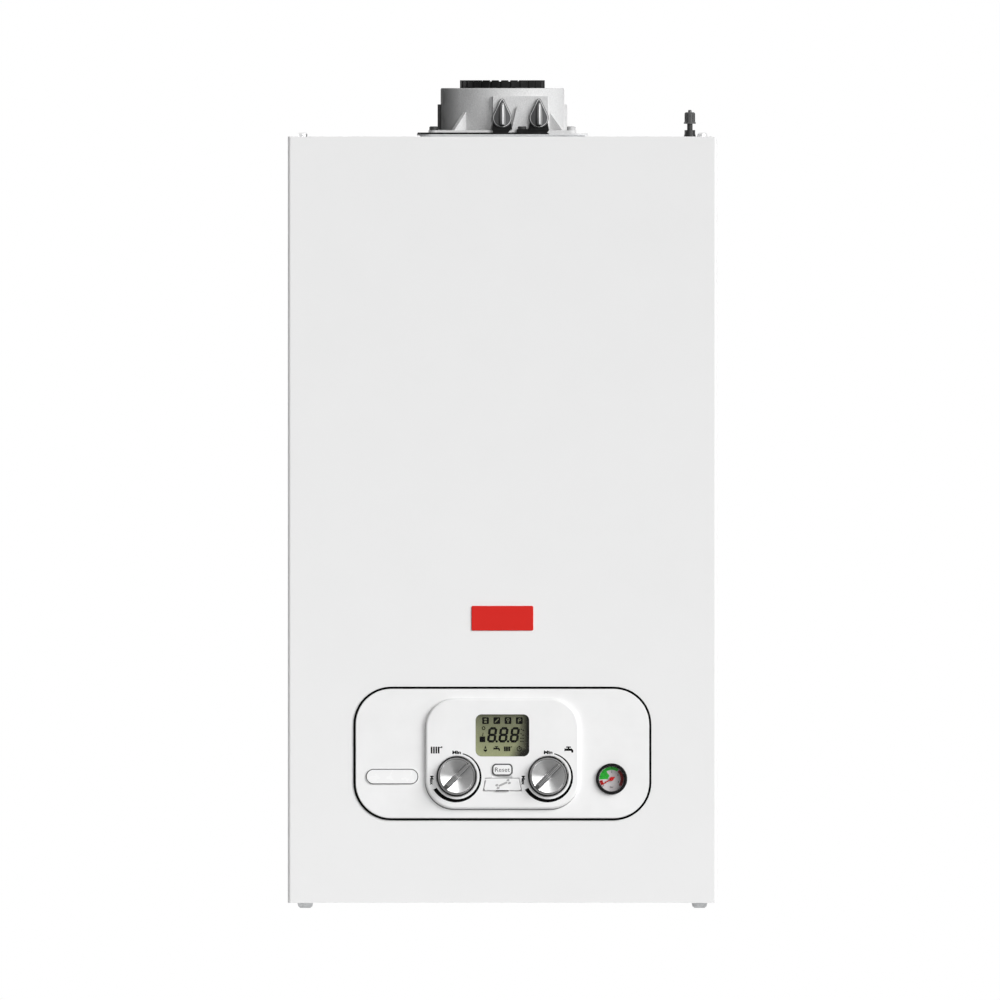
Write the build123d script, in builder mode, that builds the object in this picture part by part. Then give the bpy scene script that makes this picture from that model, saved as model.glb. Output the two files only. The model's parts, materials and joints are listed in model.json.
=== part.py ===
"""Wall-hung combi boiler, millimetres.

+X is to the right seen from the front, -Y points out of the front, +Z is up.
The wall is the plane Y = 0, and Z = 0 is the hole line of the wall bracket.
"""

import os
from math import cos, radians, sin, sqrt

from build123d import *

# ---------------------------------------------------------------- driving dimensions
CASE_W = 392.0
CASE_H = 700.0
CASE_D = 285.0
CASE_TOP = 60.0
CASE_BOTTOM = CASE_TOP - CASE_H
CASE_SHEET = 1.2
CASE_EDGE_R = 2.6
CASE_WALL_GAP = 2.0
FRONT_Y = -CASE_D

FASCIA_W = 269.0
FASCIA_H = 119.0
FASCIA_R = 33.0
FASCIA_GAP = 1.6
FASCIA_Z = -503.6
FASCIA_PROUD = 1.2
MOULDING_W = 141.0
MOULDING_H = 101.2
MOULDING_R = 27.0
MOULDING_RISE = 4.4
FASCIA_FACE_Y = FRONT_Y - FASCIA_PROUD
MOULDING_FACE_Y = FASCIA_FACE_Y - MOULDING_RISE

KNOB_R = 17.0
KNOB_SKIRT_R = 18.3
KNOB_WELL_R = 19.0
KNOB_X = 41.8
KNOB_Z = -524.4
RIDGE_ANGLE = 45.0
RIDGE_W = 5.6
RIDGE_TAPER = 10.0
MARKER_R = 13.6
SPINDLE_R = 3.0
SPINDLE_BORE_R = 3.05

DISPLAY_W = 49.0
DISPLAY_H = 38.4
DISPLAY_R = 5.5
DISPLAY_Z = -487.0

RESET_W = 18.9
RESET_H = 11.0
RESET_Z = -518.3
BUTTON_GAP = 0.35
FLAP_GAP = 0.45
WELL_FLOOR_Y = MOULDING_FACE_Y + 2.6
MOULDING_PLATE = 6.0
BOARD_Y = FRONT_Y + 9.0
BOX_RIM_Y = FRONT_Y + 5.0
BOX_BACK_Y = -217.0

FLAP_TOP_W = 30.4
FLAP_BOTTOM_W = 34.9
FLAP_H = 11.4
FLAP_Z = -531.9
BOARD_X = -18.0
BOARD_W = 190.0
BOARD_H = 104.0
BOARD_BLOCKS = (
    (28, 16, 18, [(-95, -470), (-95, -492)]),
    (20, 20, 24, [(58, -470)]),
    (150, 9, 12, [(-20, -546)]),
)

HINGE_Z = FLAP_Z + FLAP_H / 2 - 1.2
HINGE_Y = MOULDING_FACE_Y + 1.3
HINGE_PIN_R = 0.8
SCOOP_R = 16.0
SCOOP_DEPTH = 2.9

GAUGE_X = 99.8
GAUGE_Z = -526.7
GAUGE_BEZEL_R = 14.2
GAUGE_WINDOW_R = 12.1

DIAL_Y = FASCIA_FACE_Y + 2.2
POINTER_ANGLE = 210.7
POINTER_PIVOT_R = 0.6

PLATE_W = 56.5
PLATE_H = 22.6
PLATE_Z = -380.0
PILL_W = 48.2
PILL_H = 14.4
PILL_X = -100.7
PILL_Z = -524.6

TOP_PLATE_Z = CASE_TOP - 1.6
TRAY_Z = -585.0
TRAY_CLEARANCE = 2.0
CHASSIS_SHEET = 1.2
CHASSIS_HALF = 191.5
CHASSIS_RECESS = 14.0

BRACKET_HOLE_SPACING = 250.0
BRACKET_HOLE_R = 4.0
LIP_Y = -10.0
LIP_TOP = 40.0

FLUE_Y = -145.0
FLUE_INNER_R = 30.2
FLUE_OUTER_R = 50.5
TOWER_R = 56.4
TOWER_TOP = 104.2
FLANGE_HALF = 78.0
STEP_W = 135.0
STEP_D = 151.0
FLANGE_Z = 60.9
FLANGE_T = 2.1
FLANGE_CORNER_R = 14.0
STEP_TOP = 65.7
WEB_TOP = 80.0
SOCKET_R = 36.0
SOCKET_TOP = 103.0
SOCKET_STOP = 70.0
CORNER_SCREWS = [(x, FLUE_Y + y) for x in (-62.8, 62.8) for y in (-66.0, 66.0)]
FLANGE_SCREWS = CORNER_SCREWS + [(18.0, FLUE_Y - 70.5)]
GUSSETS = ((-127.5, 18.0), (-38.4, 14.6), (127.5, 18.0), (38.4, 14.6))
PAD_Y = FLUE_Y - 60.0
RIB_X = 16.1
RIB_TOP = 88.4
RIB_R = 3.2
RIB_FOOT = 15.0
CAP_PLUG_R = 5.0

CAP_X = (-0.2, 33.4)
CAP_Z = 76.9
CAP_DISC_R = 8.9

VALVE_X = 171.2
VALVE_Y = -60.0
HOSE_X = 100.0
VESSEL_R = 160.0
VESSEL_T = 85.0
VESSEL_Y = -CHASSIS_RECESS - VESSEL_T / 2
VESSEL_Z = -112.0

CASE_SCREW_X = 180.0
PAN_SCREWS = [(-182.6, -232.0), (182.6, -232.0)]
CASE_SCREW_Y = -205.0
CASE_SCREW_R = 3.0
CASE_SLOT_R = 3.6
CASE_EAR = 26.0
CASE_RETURN = 16.0

PIPE_22_R = 11.0
PIPE_15_R = 7.5
TAIL_PITCH = 65.0
TAIL_Y = -150.0
TAIL_END = -635.0
TAILS_22 = [(step * TAIL_PITCH, TAIL_Y) for step in (-2, 0, 2)]
RELIEF_X = 90.0
RELIEF_Z = -540.0
RELIEF_Y = -170.0
TAILS_15 = [(-TAIL_PITCH, TAIL_Y), (TAIL_PITCH, TAIL_Y), (RELIEF_X, RELIEF_Y)]

AIR_BOX_HALF = 183.0
AIR_BOX_TOP = TOP_PLATE_Z - CHASSIS_SHEET
AIR_BOX_BOTTOM = -310.0
AIR_BOX_BACK = -105.0
AIR_BOX_FRONT = -245.0

AIR_DOOR_FACE = AIR_BOX_FRONT - 4.0
AIR_DOOR_SCREWS = [(x, z) for x in (-172, 172) for z in (-299, -127, 44)]

TRAP_X = -168.0
TRAP_Y = -60.0
TRAP_OUTLET_R = 10.75

EXCHANGER_X = -70.0
EXCHANGER_Z = -175.0
EXCHANGER_R = 98.0
EXCHANGER_FRONT = -205.0
EXCHANGER_CORE_R = 62.0
SPIGOT_Z = -285.0
WATER_RISERS = (-120.0, -20.0)
FAN_X = 105.0
FAN_Z = -130.0
FAN_R = 62.0
FAN_BACK = -170.0
FAN_FRONT = -210.0
MIXTURE_X = 43.0
DUCT_H = 36.0
GAS_X = 117.0
GAS_VALVE_TOP = -225.0
WATER_Y = -125.0
WATER_PIPE_R = 9.0
BLOCK_X = 130.0
BLOCK_BACK = -90.0
BLOCK_FRONT = -160.0
BLOCK_BOTTOM = -562.0
BLOCK_TOP = -480.0
PUMP_Z = -430.0
DIVERTER_X = -152.0
PLATE_HX_BACK = -35.0
PLATE_HX_Z = -522.0
PUMP_R = 42.0

os.makedirs("parts", exist_ok=True)


def front_plane(y):
    """A plane at depth y that faces the viewer: its x is the object's X, its y the object's Z."""
    return Plane.XZ.offset(-y)


# ---------------------------------------------------------------- chassis
def make_wall_bracket():
    """Joggled steel strip: screwed to the wall by its lower limb, hooked by the chassis above."""
    with BuildPart() as wall_bracket:
        with BuildSketch(Plane.YZ.offset(-150)):
            with BuildLine():
                Polyline(
                    (0, -22), (0, 18), (LIP_Y + 1, 24), (LIP_Y + 1, LIP_TOP), (LIP_Y - 1, LIP_TOP),
                    (LIP_Y - 1, 23), (-2, 17), (-2, -22), close=True,
                )
            make_face()
        extrude(amount=300)
        with BuildSketch(front_plane(0)):
            with Locations((-BRACKET_HOLE_SPACING / 2, 0), (BRACKET_HOLE_SPACING / 2, 0)):
                Circle(BRACKET_HOLE_R)
        extrude(amount=2, mode=Mode.SUBTRACT)
    wall_bracket.part.label = "wall_bracket"
    export_step(wall_bracket.part, "parts/wall_bracket.step")


def make_rear_frame():
    """Hat-section chassis: side flanges forward, feet on the wall, middle panel stood off."""
    panel_half = 160.0
    outer = CHASSIS_HALF
    inner = outer - CHASSIS_SHEET
    back = -CHASSIS_RECESS
    face = back + CHASSIS_SHEET
    height = (CASE_TOP - 3) - (CASE_BOTTOM + 6)
    with BuildPart() as rear_frame:
        with BuildSketch(Plane.XY.offset(CASE_BOTTOM + 6)):
            with BuildLine():
                Polyline(
                    (0, back), (panel_half, back), (panel_half, -CHASSIS_SHEET), (inner, -CHASSIS_SHEET),
                    (inner, -62), (outer, -62), (outer, 0), (panel_half - CHASSIS_SHEET, 0),
                    (panel_half - CHASSIS_SHEET, face), (0, face), close=True,
                )
            make_face()
            mirror(about=Plane.YZ)
        extrude(amount=height)
        # a tab turned back out of its own slot hooks over the lip of the wall bracket
        with BuildSketch(front_plane(back + 2)):
            with Locations((0, 32)):
                Rectangle(302, 16)
        extrude(amount=6, mode=Mode.SUBTRACT)
        with BuildSketch(Plane.YZ.offset(-148)):
            with BuildLine():
                Polyline(
                    (face, LIP_TOP + CHASSIS_SHEET), (LIP_Y + 2.4, LIP_TOP + CHASSIS_SHEET),
                    (LIP_Y + 2.4, LIP_TOP - 7), (LIP_Y + 1.2, LIP_TOP - 7), (LIP_Y + 1.2, LIP_TOP),
                    (face, LIP_TOP), close=True,
                )
            make_face()
        extrude(amount=296)
        # pressed windows that lighten the panel behind the water side
        with BuildSketch(front_plane(back + 2)):
            with Locations((-105, -450), (0, -450), (105, -450)):
                RectangleRounded(80, 60, 12)
        extrude(amount=6, mode=Mode.SUBTRACT)
    rear_frame.part.label = "rear_frame"
    export_step(rear_frame.part, "parts/rear_frame.step")


def make_top_plate():
    """Top plate with its side and front edges turned down, pierced for flue, valve and screws."""
    half, edge, rear = 192.8, 10.0, -3.0
    front = FRONT_Y + 5
    with BuildPart() as top_plate:
        with BuildSketch(Plane.XY.offset(TOP_PLATE_Z)):
            with Locations((0, (front + rear) / 2)):
                Rectangle(2 * half, rear - front)
        extrude(amount=-edge)
        with BuildSketch(Plane.XY.offset(TOP_PLATE_Z - CHASSIS_SHEET)):
            with Locations((0, (front + rear) / 2 + CHASSIS_SHEET)):
                Rectangle(2 * (half - CHASSIS_SHEET), rear - front)
        extrude(amount=-edge, mode=Mode.SUBTRACT)
        with BuildSketch(Plane.XY.offset(TOP_PLATE_Z)):
            with Locations((0, FLUE_Y)):
                Circle(53)
            with Locations((VALVE_X, VALVE_Y)):
                Circle(5.5)
            with Locations(*FLANGE_SCREWS):
                Circle(2.2)
        extrude(amount=-CHASSIS_SHEET, mode=Mode.SUBTRACT)
    top_plate.part.label = "top_plate"
    export_step(top_plate.part, "parts/top_plate.step")


def make_bottom_tray():
    """Inverted channel that carries the water side: the plate, two side webs and two feet."""
    web = 190.0
    sheet = 1.5
    foot = CASE_BOTTOM + 3.0
    with BuildPart() as bottom_tray:
        with BuildSketch(front_plane(-CHASSIS_RECESS)):
            with BuildLine():
                Polyline(
                    (0, TRAY_Z), (web, TRAY_Z), (web, foot), (web - 18, foot), (web - 18, foot + sheet),
                    (web - sheet, foot + sheet), (web - sheet, TRAY_Z - sheet), (0, TRAY_Z - sheet),
                    close=True,
                )
            make_face()
            mirror(about=Plane.YZ)
        extrude(amount=202)
        with BuildSketch(Plane.XY.offset(TRAY_Z + 1)):
            with Locations(*TAILS_22):
                Circle(PIPE_22_R + TRAY_CLEARANCE)
            with Locations(*TAILS_15):
                Circle(PIPE_15_R + TRAY_CLEARANCE)
            with Locations((TRAP_X, TRAP_Y)):
                Circle(TRAP_OUTLET_R + TRAY_CLEARANCE)
            with Locations((0, -35)):
                SlotOverall(240, 14)
        extrude(amount=-4, mode=Mode.SUBTRACT)
        with BuildSketch(Plane.XY.offset(foot - 1)):
            with Locations((-CASE_SCREW_X, CASE_SCREW_Y), (CASE_SCREW_X, CASE_SCREW_Y)):
                Circle(CASE_SCREW_R)
            with Locations((TRAP_X, TRAP_Y)):
                Circle(TRAP_OUTLET_R + TRAY_CLEARANCE)
        extrude(amount=4, mode=Mode.SUBTRACT)
    bottom_tray.part.label = "bottom_tray"
    export_step(bottom_tray.part, "parts/bottom_tray.step")


def make_outer_case():
    """Folded sheet case: front and two sides, a return at the top and a slotted one below."""
    half = CASE_W / 2
    inner = half - CASE_SHEET
    depth = CASE_D - CASE_WALL_GAP
    with BuildPart() as outer_case:
        with BuildSketch(Plane.XY.offset(CASE_BOTTOM)):
            with Locations((0, FRONT_Y + depth / 2)):
                Rectangle(CASE_W, depth)
        extrude(amount=CASE_H)
        fillet(outer_case.edges().filter_by(Axis.Z).group_by(Axis.Y)[0], CASE_EDGE_R)
        # the inside, open at the back
        with BuildSketch(Plane.XY.offset(CASE_BOTTOM + CASE_SHEET)):
            with Locations((0, FRONT_Y + CASE_SHEET + depth / 2)):
                Rectangle(2 * inner, depth)
        extrude(amount=CASE_H - 2 * CASE_SHEET, mode=Mode.SUBTRACT)
        # top and bottom are only narrow returns along the front edge
        with BuildSketch(Plane.XY.offset(CASE_BOTTOM - 1)):
            with Locations((0, FRONT_Y + CASE_RETURN + depth / 2)):
                Rectangle(2 * inner, depth)
        extrude(amount=CASE_H + 2, mode=Mode.SUBTRACT)
        # ears that the two bottom screws clamp, slotted so that the case draws forward
        with BuildSketch(Plane.XY.offset(CASE_BOTTOM)):
            for side in (-1, 1):
                with Locations((side * (inner - CASE_EAR / 2), CASE_SCREW_Y - 15)):
                    Rectangle(CASE_EAR, 60)
                with Locations((side * CASE_SCREW_X, CASE_SCREW_Y + 15)):
                    Rectangle(2 * CASE_SLOT_R, 30, mode=Mode.SUBTRACT)
                with Locations((side * CASE_SCREW_X, CASE_SCREW_Y)):
                    Circle(CASE_SLOT_R, mode=Mode.SUBTRACT)
        extrude(amount=CASE_SHEET)
        # opening for the fascia
        with BuildSketch(front_plane(FRONT_Y - 1)):
            with Locations((0, FASCIA_Z)):
                RectangleRounded(
                    FASCIA_W + 2 * FASCIA_GAP, FASCIA_H + 2 * FASCIA_GAP, FASCIA_R + FASCIA_GAP
                )
        extrude(amount=-6, mode=Mode.SUBTRACT)
    outer_case.part.label = "outer_case"
    export_step(outer_case.part, "parts/outer_case.step")


def make_badge_plate():
    """Blank enamelled plate on the case front, its front edge softened."""
    with BuildPart() as badge_plate:
        with BuildSketch(front_plane(FRONT_Y)):
            with Locations((0, PLATE_Z)):
                RectangleRounded(PLATE_W, PLATE_H, 1.4)
        extrude(amount=1.1)
        chamfer(badge_plate.faces().sort_by(Axis.Y)[0].edges(), 0.35)
    badge_plate.part.label = "badge_plate"
    export_step(badge_plate.part, "parts/badge_plate.step")


def make_screws():
    """Bottom case screws with tapering heads, and the pan-head screws of the top plate."""
    head_top = CASE_BOTTOM - 0.1
    head_bottom = CASE_BOTTOM - 4.6
    shank_end = CASE_BOTTOM + 14
    with BuildPart() as case_screws:
        for x in (-CASE_SCREW_X, CASE_SCREW_X):
            with BuildSketch(front_plane(CASE_SCREW_Y)):
                with BuildLine():
                    Polyline(
                        (x, head_bottom), (x + 4.6, head_bottom), (x + 6.4, head_bottom + 1.4),
                        (x + 7.25, head_top), (x + CASE_SCREW_R, head_top), (x + CASE_SCREW_R, shank_end),
                        (x, shank_end), close=True,
                    )
                make_face()
            revolve(axis=Axis((x, CASE_SCREW_Y, 0), (0, 0, 1)))
    case_screws.part.label = "case_screws"
    export_step(case_screws.part, "parts/case_screws.step")
    with BuildPart() as pan_screws:
        with Locations(*[(x, y, TOP_PLATE_Z) for x, y in PAN_SCREWS]):
            Cylinder(4.5, 5.2, align=(Align.CENTER, Align.CENTER, Align.MIN))
        chamfer(pan_screws.faces().filter_by(Axis.Z).group_by(Axis.Z)[-1].edges(), 1.2)
        with BuildSketch(front_plane(AIR_DOOR_FACE)):
            with Locations(*AIR_DOOR_SCREWS):
                Circle(4.0)
        extrude(amount=2.6)
    pan_screws.part.label = "pan_screws"
    export_step(pan_screws.part, "parts/pan_screws.step")


# ---------------------------------------------------------------- flue connection and charging valve
def make_flue_adaptor():
    """Concentric flue socket: flange, step, tower, inner socket on webs, gussets and the sampling pad."""
    centre = (0, FLUE_Y)
    pad_left, pad_right, pad_top = -8.7, 41.6, 96.9
    with BuildPart() as flue_adaptor:
        with BuildSketch(Plane.XY.offset(FLANGE_Z)):
            with Locations(centre):
                RectangleRounded(2 * FLANGE_HALF, 2 * FLANGE_HALF, FLANGE_CORNER_R)
        extrude(amount=FLANGE_T)
        with BuildSketch(Plane.XY.offset(FLANGE_Z)):
            with Locations(centre):
                RectangleRounded(STEP_W, STEP_D, 6)
        extrude(amount=STEP_TOP - FLANGE_Z)
        with BuildSketch(Plane.XY.offset(FLANGE_Z)):
            with Locations(centre):
                Circle(TOWER_R)
        extrude(amount=TOWER_TOP - FLANGE_Z)
        chamfer(flue_adaptor.edges().filter_by(GeomType.CIRCLE).sort_by(Axis.Z)[-1], 0.8)
        # flat pad on the front that carries the two sampling sockets
        with BuildSketch(front_plane(PAD_Y)):
            with Locations(((pad_left + pad_right) / 2, (FLANGE_Z + pad_top) / 2)):
                Rectangle(pad_right - pad_left, pad_top - FLANGE_Z)
        extrude(amount=-(FLUE_Y - PAD_Y))
        # the flared rib between the two sockets
        with BuildSketch(front_plane(PAD_Y)):
            with Locations((RIB_X, RIB_TOP - RIB_R)):
                Circle(RIB_R)
            with Locations((RIB_X, STEP_TOP + 1)):
                Rectangle(RIB_FOOT, 2)
            make_hull()
        extrude(amount=2.6)
        # radial gussets at the foot and outside ribs at the sides
        for angle, reach in GUSSETS:
            along = Plane(origin=(0, FLUE_Y, STEP_TOP), x_dir=(cos(radians(angle)), sin(radians(angle)), 0),
                          z_dir=(sin(radians(angle)), -cos(radians(angle)), 0))
            with BuildSketch(along):
                with BuildLine():
                    Polyline((TOWER_R - 3, 0), (TOWER_R + reach, 0), (TOWER_R - 3, 19.5), close=True)
                make_face()
            extrude(amount=1.6, both=True)
        for side in (-1, 1):
            with BuildSketch(Plane.XY.offset(FLANGE_Z)):
                with Locations((side * TOWER_R, FLUE_Y)):
                    Rectangle(5.6, 9)
            extrude(amount=RIB_TOP + 1 - FLANGE_Z)
        # air way, then the inner socket put back inside it on four webs
        with BuildSketch(Plane.XY.offset(FLANGE_Z - 1)):
            with Locations(centre):
                Circle(FLUE_OUTER_R)
        extrude(amount=TOWER_TOP, mode=Mode.SUBTRACT)
        with BuildSketch(Plane.XY.offset(FLANGE_Z)):
            with Locations(centre):
                Circle(SOCKET_R)
                with PolarLocations(0, 2, start_angle=45, angular_range=180):
                    Rectangle(2 * FLUE_OUTER_R + 1, 3)
        extrude(amount=WEB_TOP - FLANGE_Z)
        with BuildSketch(Plane.XY.offset(FLANGE_Z)):
            with Locations(centre):
                Circle(SOCKET_R)
        extrude(amount=SOCKET_TOP - FLANGE_Z)
        for start, end, bore_r in (
            (FLANGE_Z - 1, SOCKET_STOP - 2, FLUE_INNER_R + 1),
            (SOCKET_STOP - 3, SOCKET_STOP + 1, FLUE_INNER_R - 2.7),
            (SOCKET_STOP, SOCKET_TOP + 1, FLUE_INNER_R),
        ):
            with BuildSketch(Plane.XY.offset(start)):
                with Locations(centre):
                    Circle(bore_r)
            extrude(amount=end - start, mode=Mode.SUBTRACT)
        # sampling sockets
        with BuildSketch(front_plane(PAD_Y - 1)):
            with Locations(*[(x, CAP_Z) for x in CAP_X]):
                Circle(CAP_PLUG_R + 0.05)
        extrude(amount=-12, mode=Mode.SUBTRACT)
        # flange screw holes
        with BuildSketch(Plane.XY.offset(FLANGE_Z - 1)):
            with Locations(*FLANGE_SCREWS):
                Circle(2.2)
        extrude(amount=STEP_TOP - FLANGE_Z + 2, mode=Mode.SUBTRACT)
    flue_adaptor.part.label = "flue_adaptor"
    export_step(flue_adaptor.part, "parts/flue_adaptor.step")


def make_flue_gasket():
    """Soft gasket between the adaptor's flange and the top plate."""
    with BuildPart() as flue_gasket:
        with BuildSketch(Plane.XY.offset(TOP_PLATE_Z)):
            with Locations((0, FLUE_Y)):
                RectangleRounded(2 * FLANGE_HALF - 5, 2 * FLANGE_HALF - 5, FLANGE_CORNER_R - 2)
                Circle(52, mode=Mode.SUBTRACT)
        extrude(amount=FLANGE_Z - TOP_PLATE_Z)
        with BuildSketch(Plane.XY.offset(FLANGE_Z)):
            with Locations(*FLANGE_SCREWS):
                Circle(2.2)
        extrude(amount=-4, mode=Mode.SUBTRACT)
    flue_gasket.part.label = "flue_gasket"
    export_step(flue_gasket.part, "parts/flue_gasket.step")


def make_flue_seal():
    """Rubber lip seal over the inner socket, its rim cut into castellations."""
    rim_r = 38.75
    mouth_r = FLUE_INNER_R + 1.2
    sleeve_r = SOCKET_R + 0.05
    rim_top = TOWER_TOP + 7.2
    lobes = 27
    with BuildPart() as flue_seal:
        with BuildSketch(front_plane(FLUE_Y)):
            with BuildLine():
                Polyline(
                    (mouth_r, SOCKET_TOP), (sleeve_r, SOCKET_TOP), (sleeve_r, SOCKET_TOP - 9),
                    (SOCKET_R + 1.6, SOCKET_TOP - 9), (rim_r, SOCKET_TOP - 3), (rim_r, rim_top),
                    (rim_r - 3.4, rim_top), (mouth_r, SOCKET_TOP + 4), close=True,
                )
            make_face()
        revolve(axis=Axis((0, FLUE_Y, 0), (0, 0, 1)))
        with BuildSketch(Plane.XY.offset(TOWER_TOP)):
            with Locations((0, FLUE_Y)):
                with PolarLocations(rim_r + 0.5, lobes):
                    Circle(1.5)
        extrude(amount=10, mode=Mode.SUBTRACT)
        with Locations((0, FLUE_Y, rim_top)):
            with PolarLocations(rim_r - 2, lobes):
                Cylinder(1.3, 7, rotation=(0, 90, 0), mode=Mode.SUBTRACT)
    flue_seal.part.label = "flue_seal"
    export_step(flue_seal.part, "parts/flue_seal.step")


def make_flue_screws():
    """Four flange screws and the pad's own screw, all hexagon-washer heads with a recess."""
    with BuildPart() as flue_screws:
        with Locations(*[(x, y, STEP_TOP) for x, y in FLANGE_SCREWS]):
            Cylinder(4, 3.6, align=(Align.CENTER, Align.CENTER, Align.MIN))
            Cylinder(2.1, STEP_TOP - AIR_BOX_TOP, align=(Align.CENTER, Align.CENTER, Align.MAX))
        chamfer(flue_screws.faces().filter_by(Axis.Z).group_by(Axis.Z)[-1].edges(), 0.8)
        with BuildSketch(Plane.XY.offset(STEP_TOP + 3.6)):
            with Locations(*FLANGE_SCREWS):
                RegularPolygon(1.8, 6)
        extrude(amount=-1.6, mode=Mode.SUBTRACT)
    flue_screws.part.label = "flue_screws"
    export_step(flue_screws.part, "parts/flue_screws.step")


def make_sampling_caps():
    """Teardrop caps of the two sampling points, each with a plug behind and a fin to grip."""
    for name, x in zip(("sampling_cap_left", "sampling_cap_right"), CAP_X):
        with BuildPart() as cap:
            with BuildSketch(front_plane(PAD_Y - 0.2)):
                with Locations((x, CAP_Z)):
                    Circle(CAP_DISC_R)
                with Locations((x, CAP_Z + 15.6)):
                    Circle(2.2)
                make_hull()
            extrude(amount=3)
            chamfer(cap.faces().sort_by(Axis.Y)[0].edges(), 0.8)
            # the fin follows a bow from the tip to below the middle
            with BuildSketch(Plane.YZ.offset(x - 1.4)):
                with BuildLine():
                    Polyline((PAD_Y - 3, CAP_Z + 14.5), (PAD_Y - 3, CAP_Z - 8))
                    Line((PAD_Y - 3, CAP_Z - 8), (PAD_Y - 11, CAP_Z - 6))
                    ThreePointArc(
                        (PAD_Y - 11, CAP_Z - 6), (PAD_Y - 11.5, CAP_Z + 4), (PAD_Y - 3, CAP_Z + 14.5)
                    )
                make_face()
            extrude(amount=2.8)
            with BuildSketch(front_plane(PAD_Y - 0.3)):
                with Locations((x, CAP_Z)):
                    Circle(CAP_PLUG_R)
            extrude(amount=-8)
        cap.part.label = name
        export_step(cap.part, f"parts/{name}.step")


def make_charging_valve():
    """Valve stem through the top plate, its pipe down to the vessel and the fluted dust cap."""
    centre = (VALVE_X, VALVE_Y)
    with BuildPart() as valve_stem:
        for bottom, top, r in ((42, 58.2, 4.9), (58.2, 61.8, 5.3), (61.8, 65.9, 4.9), (65.9, 79.4, 2.55)):
            with BuildSketch(Plane.XY.offset(bottom)):
                with Locations(centre):
                    Circle(r)
            extrude(amount=top - bottom)
    valve_stem.part.label = "valve_stem"
    export_step(valve_stem.part, "parts/valve_stem.step")

    drop = 10.0
    rim_x = sqrt(VESSEL_R**2 - (drop - VESSEL_Z) ** 2) - 4
    with BuildPart() as vessel_pipe:
        with BuildLine(Plane.XZ.offset(-VALVE_Y)):
            FilletPolyline((VALVE_X, 42), (VALVE_X, drop), (rim_x, drop), radius=16)
        with BuildSketch(Plane(origin=(VALVE_X, VALVE_Y, 42), z_dir=(0, 0, -1))):
            Circle(4)
        sweep()
        # hose from the foot of the vessel to the back of the return block
        with BuildLine(Plane.YZ.offset(HOSE_X)):
            FilletPolyline(
                (VALVE_Y, VESSEL_Z - 100), (VALVE_Y, RELIEF_Z), (BLOCK_BACK, RELIEF_Z), radius=20
            )
        with BuildSketch(Plane(origin=(HOSE_X, VALVE_Y, VESSEL_Z - 100), z_dir=(0, 0, -1))):
            Circle(6)
        sweep()
        with Locations((0, VESSEL_Y, VESSEL_Z)):
            Cylinder(VESSEL_R, VESSEL_T, rotation=(90, 0, 0), mode=Mode.SUBTRACT)
    vessel_pipe.part.label = "vessel_pipe"
    export_step(vessel_pipe.part, "parts/vessel_pipe.step")

    skirt = 71.6
    with BuildPart() as valve_cap:
        with BuildSketch(Plane.XZ.offset(-VALVE_Y)):
            with BuildLine():
                Polyline(
                    (VALVE_X, skirt), (VALVE_X + 5.5, skirt), (VALVE_X + 5.5, skirt + 1.2),
                    (VALVE_X + 4.9, skirt + 2), (VALVE_X + 4.9, 81), (VALVE_X + 3.9, 82.2),
                    (VALVE_X + 1.75, 82.2), (VALVE_X + 1.4, 84.3), (VALVE_X, 84.3), close=True,
                )
            make_face()
        revolve(axis=Axis((VALVE_X, VALVE_Y, 0), (0, 0, 1)))
        with BuildSketch(Plane.XY.offset(skirt + 2)):
            with Locations(centre):
                with PolarLocations(5.2, 12):
                    Rectangle(1.6, 1.0)
        extrude(amount=10, mode=Mode.SUBTRACT)
        with BuildSketch(Plane.XY.offset(skirt - 1)):
            with Locations(centre):
                Circle(2.6)
        extrude(amount=9.2, mode=Mode.SUBTRACT)
    valve_cap.part.label = "valve_cap"
    export_step(valve_cap.part, "parts/valve_cap.step")


# ---------------------------------------------------------------- expansion vessel and combustion circuit
def make_expansion_vessel():
    """Flat round steel vessel: two domed pressings rolled together over a seam."""
    face = VESSEL_T / 2
    seam = 4.0
    half = [(0, face), (VESSEL_R - 34, face), (VESSEL_R - 12, face - 8), (VESSEL_R - 3, face - 24),
            (VESSEL_R - 3, seam), (VESSEL_R, seam)]
    profile = half + [(r, -y) for r, y in reversed(half)]
    with BuildPart() as expansion_vessel:
        with BuildSketch(Plane.XY.offset(VESSEL_Z)):
            with BuildLine():
                Polyline(*[(r, VESSEL_Y + y) for r, y in profile], close=True)
            make_face()
        revolve(axis=Axis((0, 0, VESSEL_Z), (0, 1, 0)))
    expansion_vessel.part.label = "expansion_vessel"
    export_step(expansion_vessel.part, "parts/expansion_vessel.step")


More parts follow.
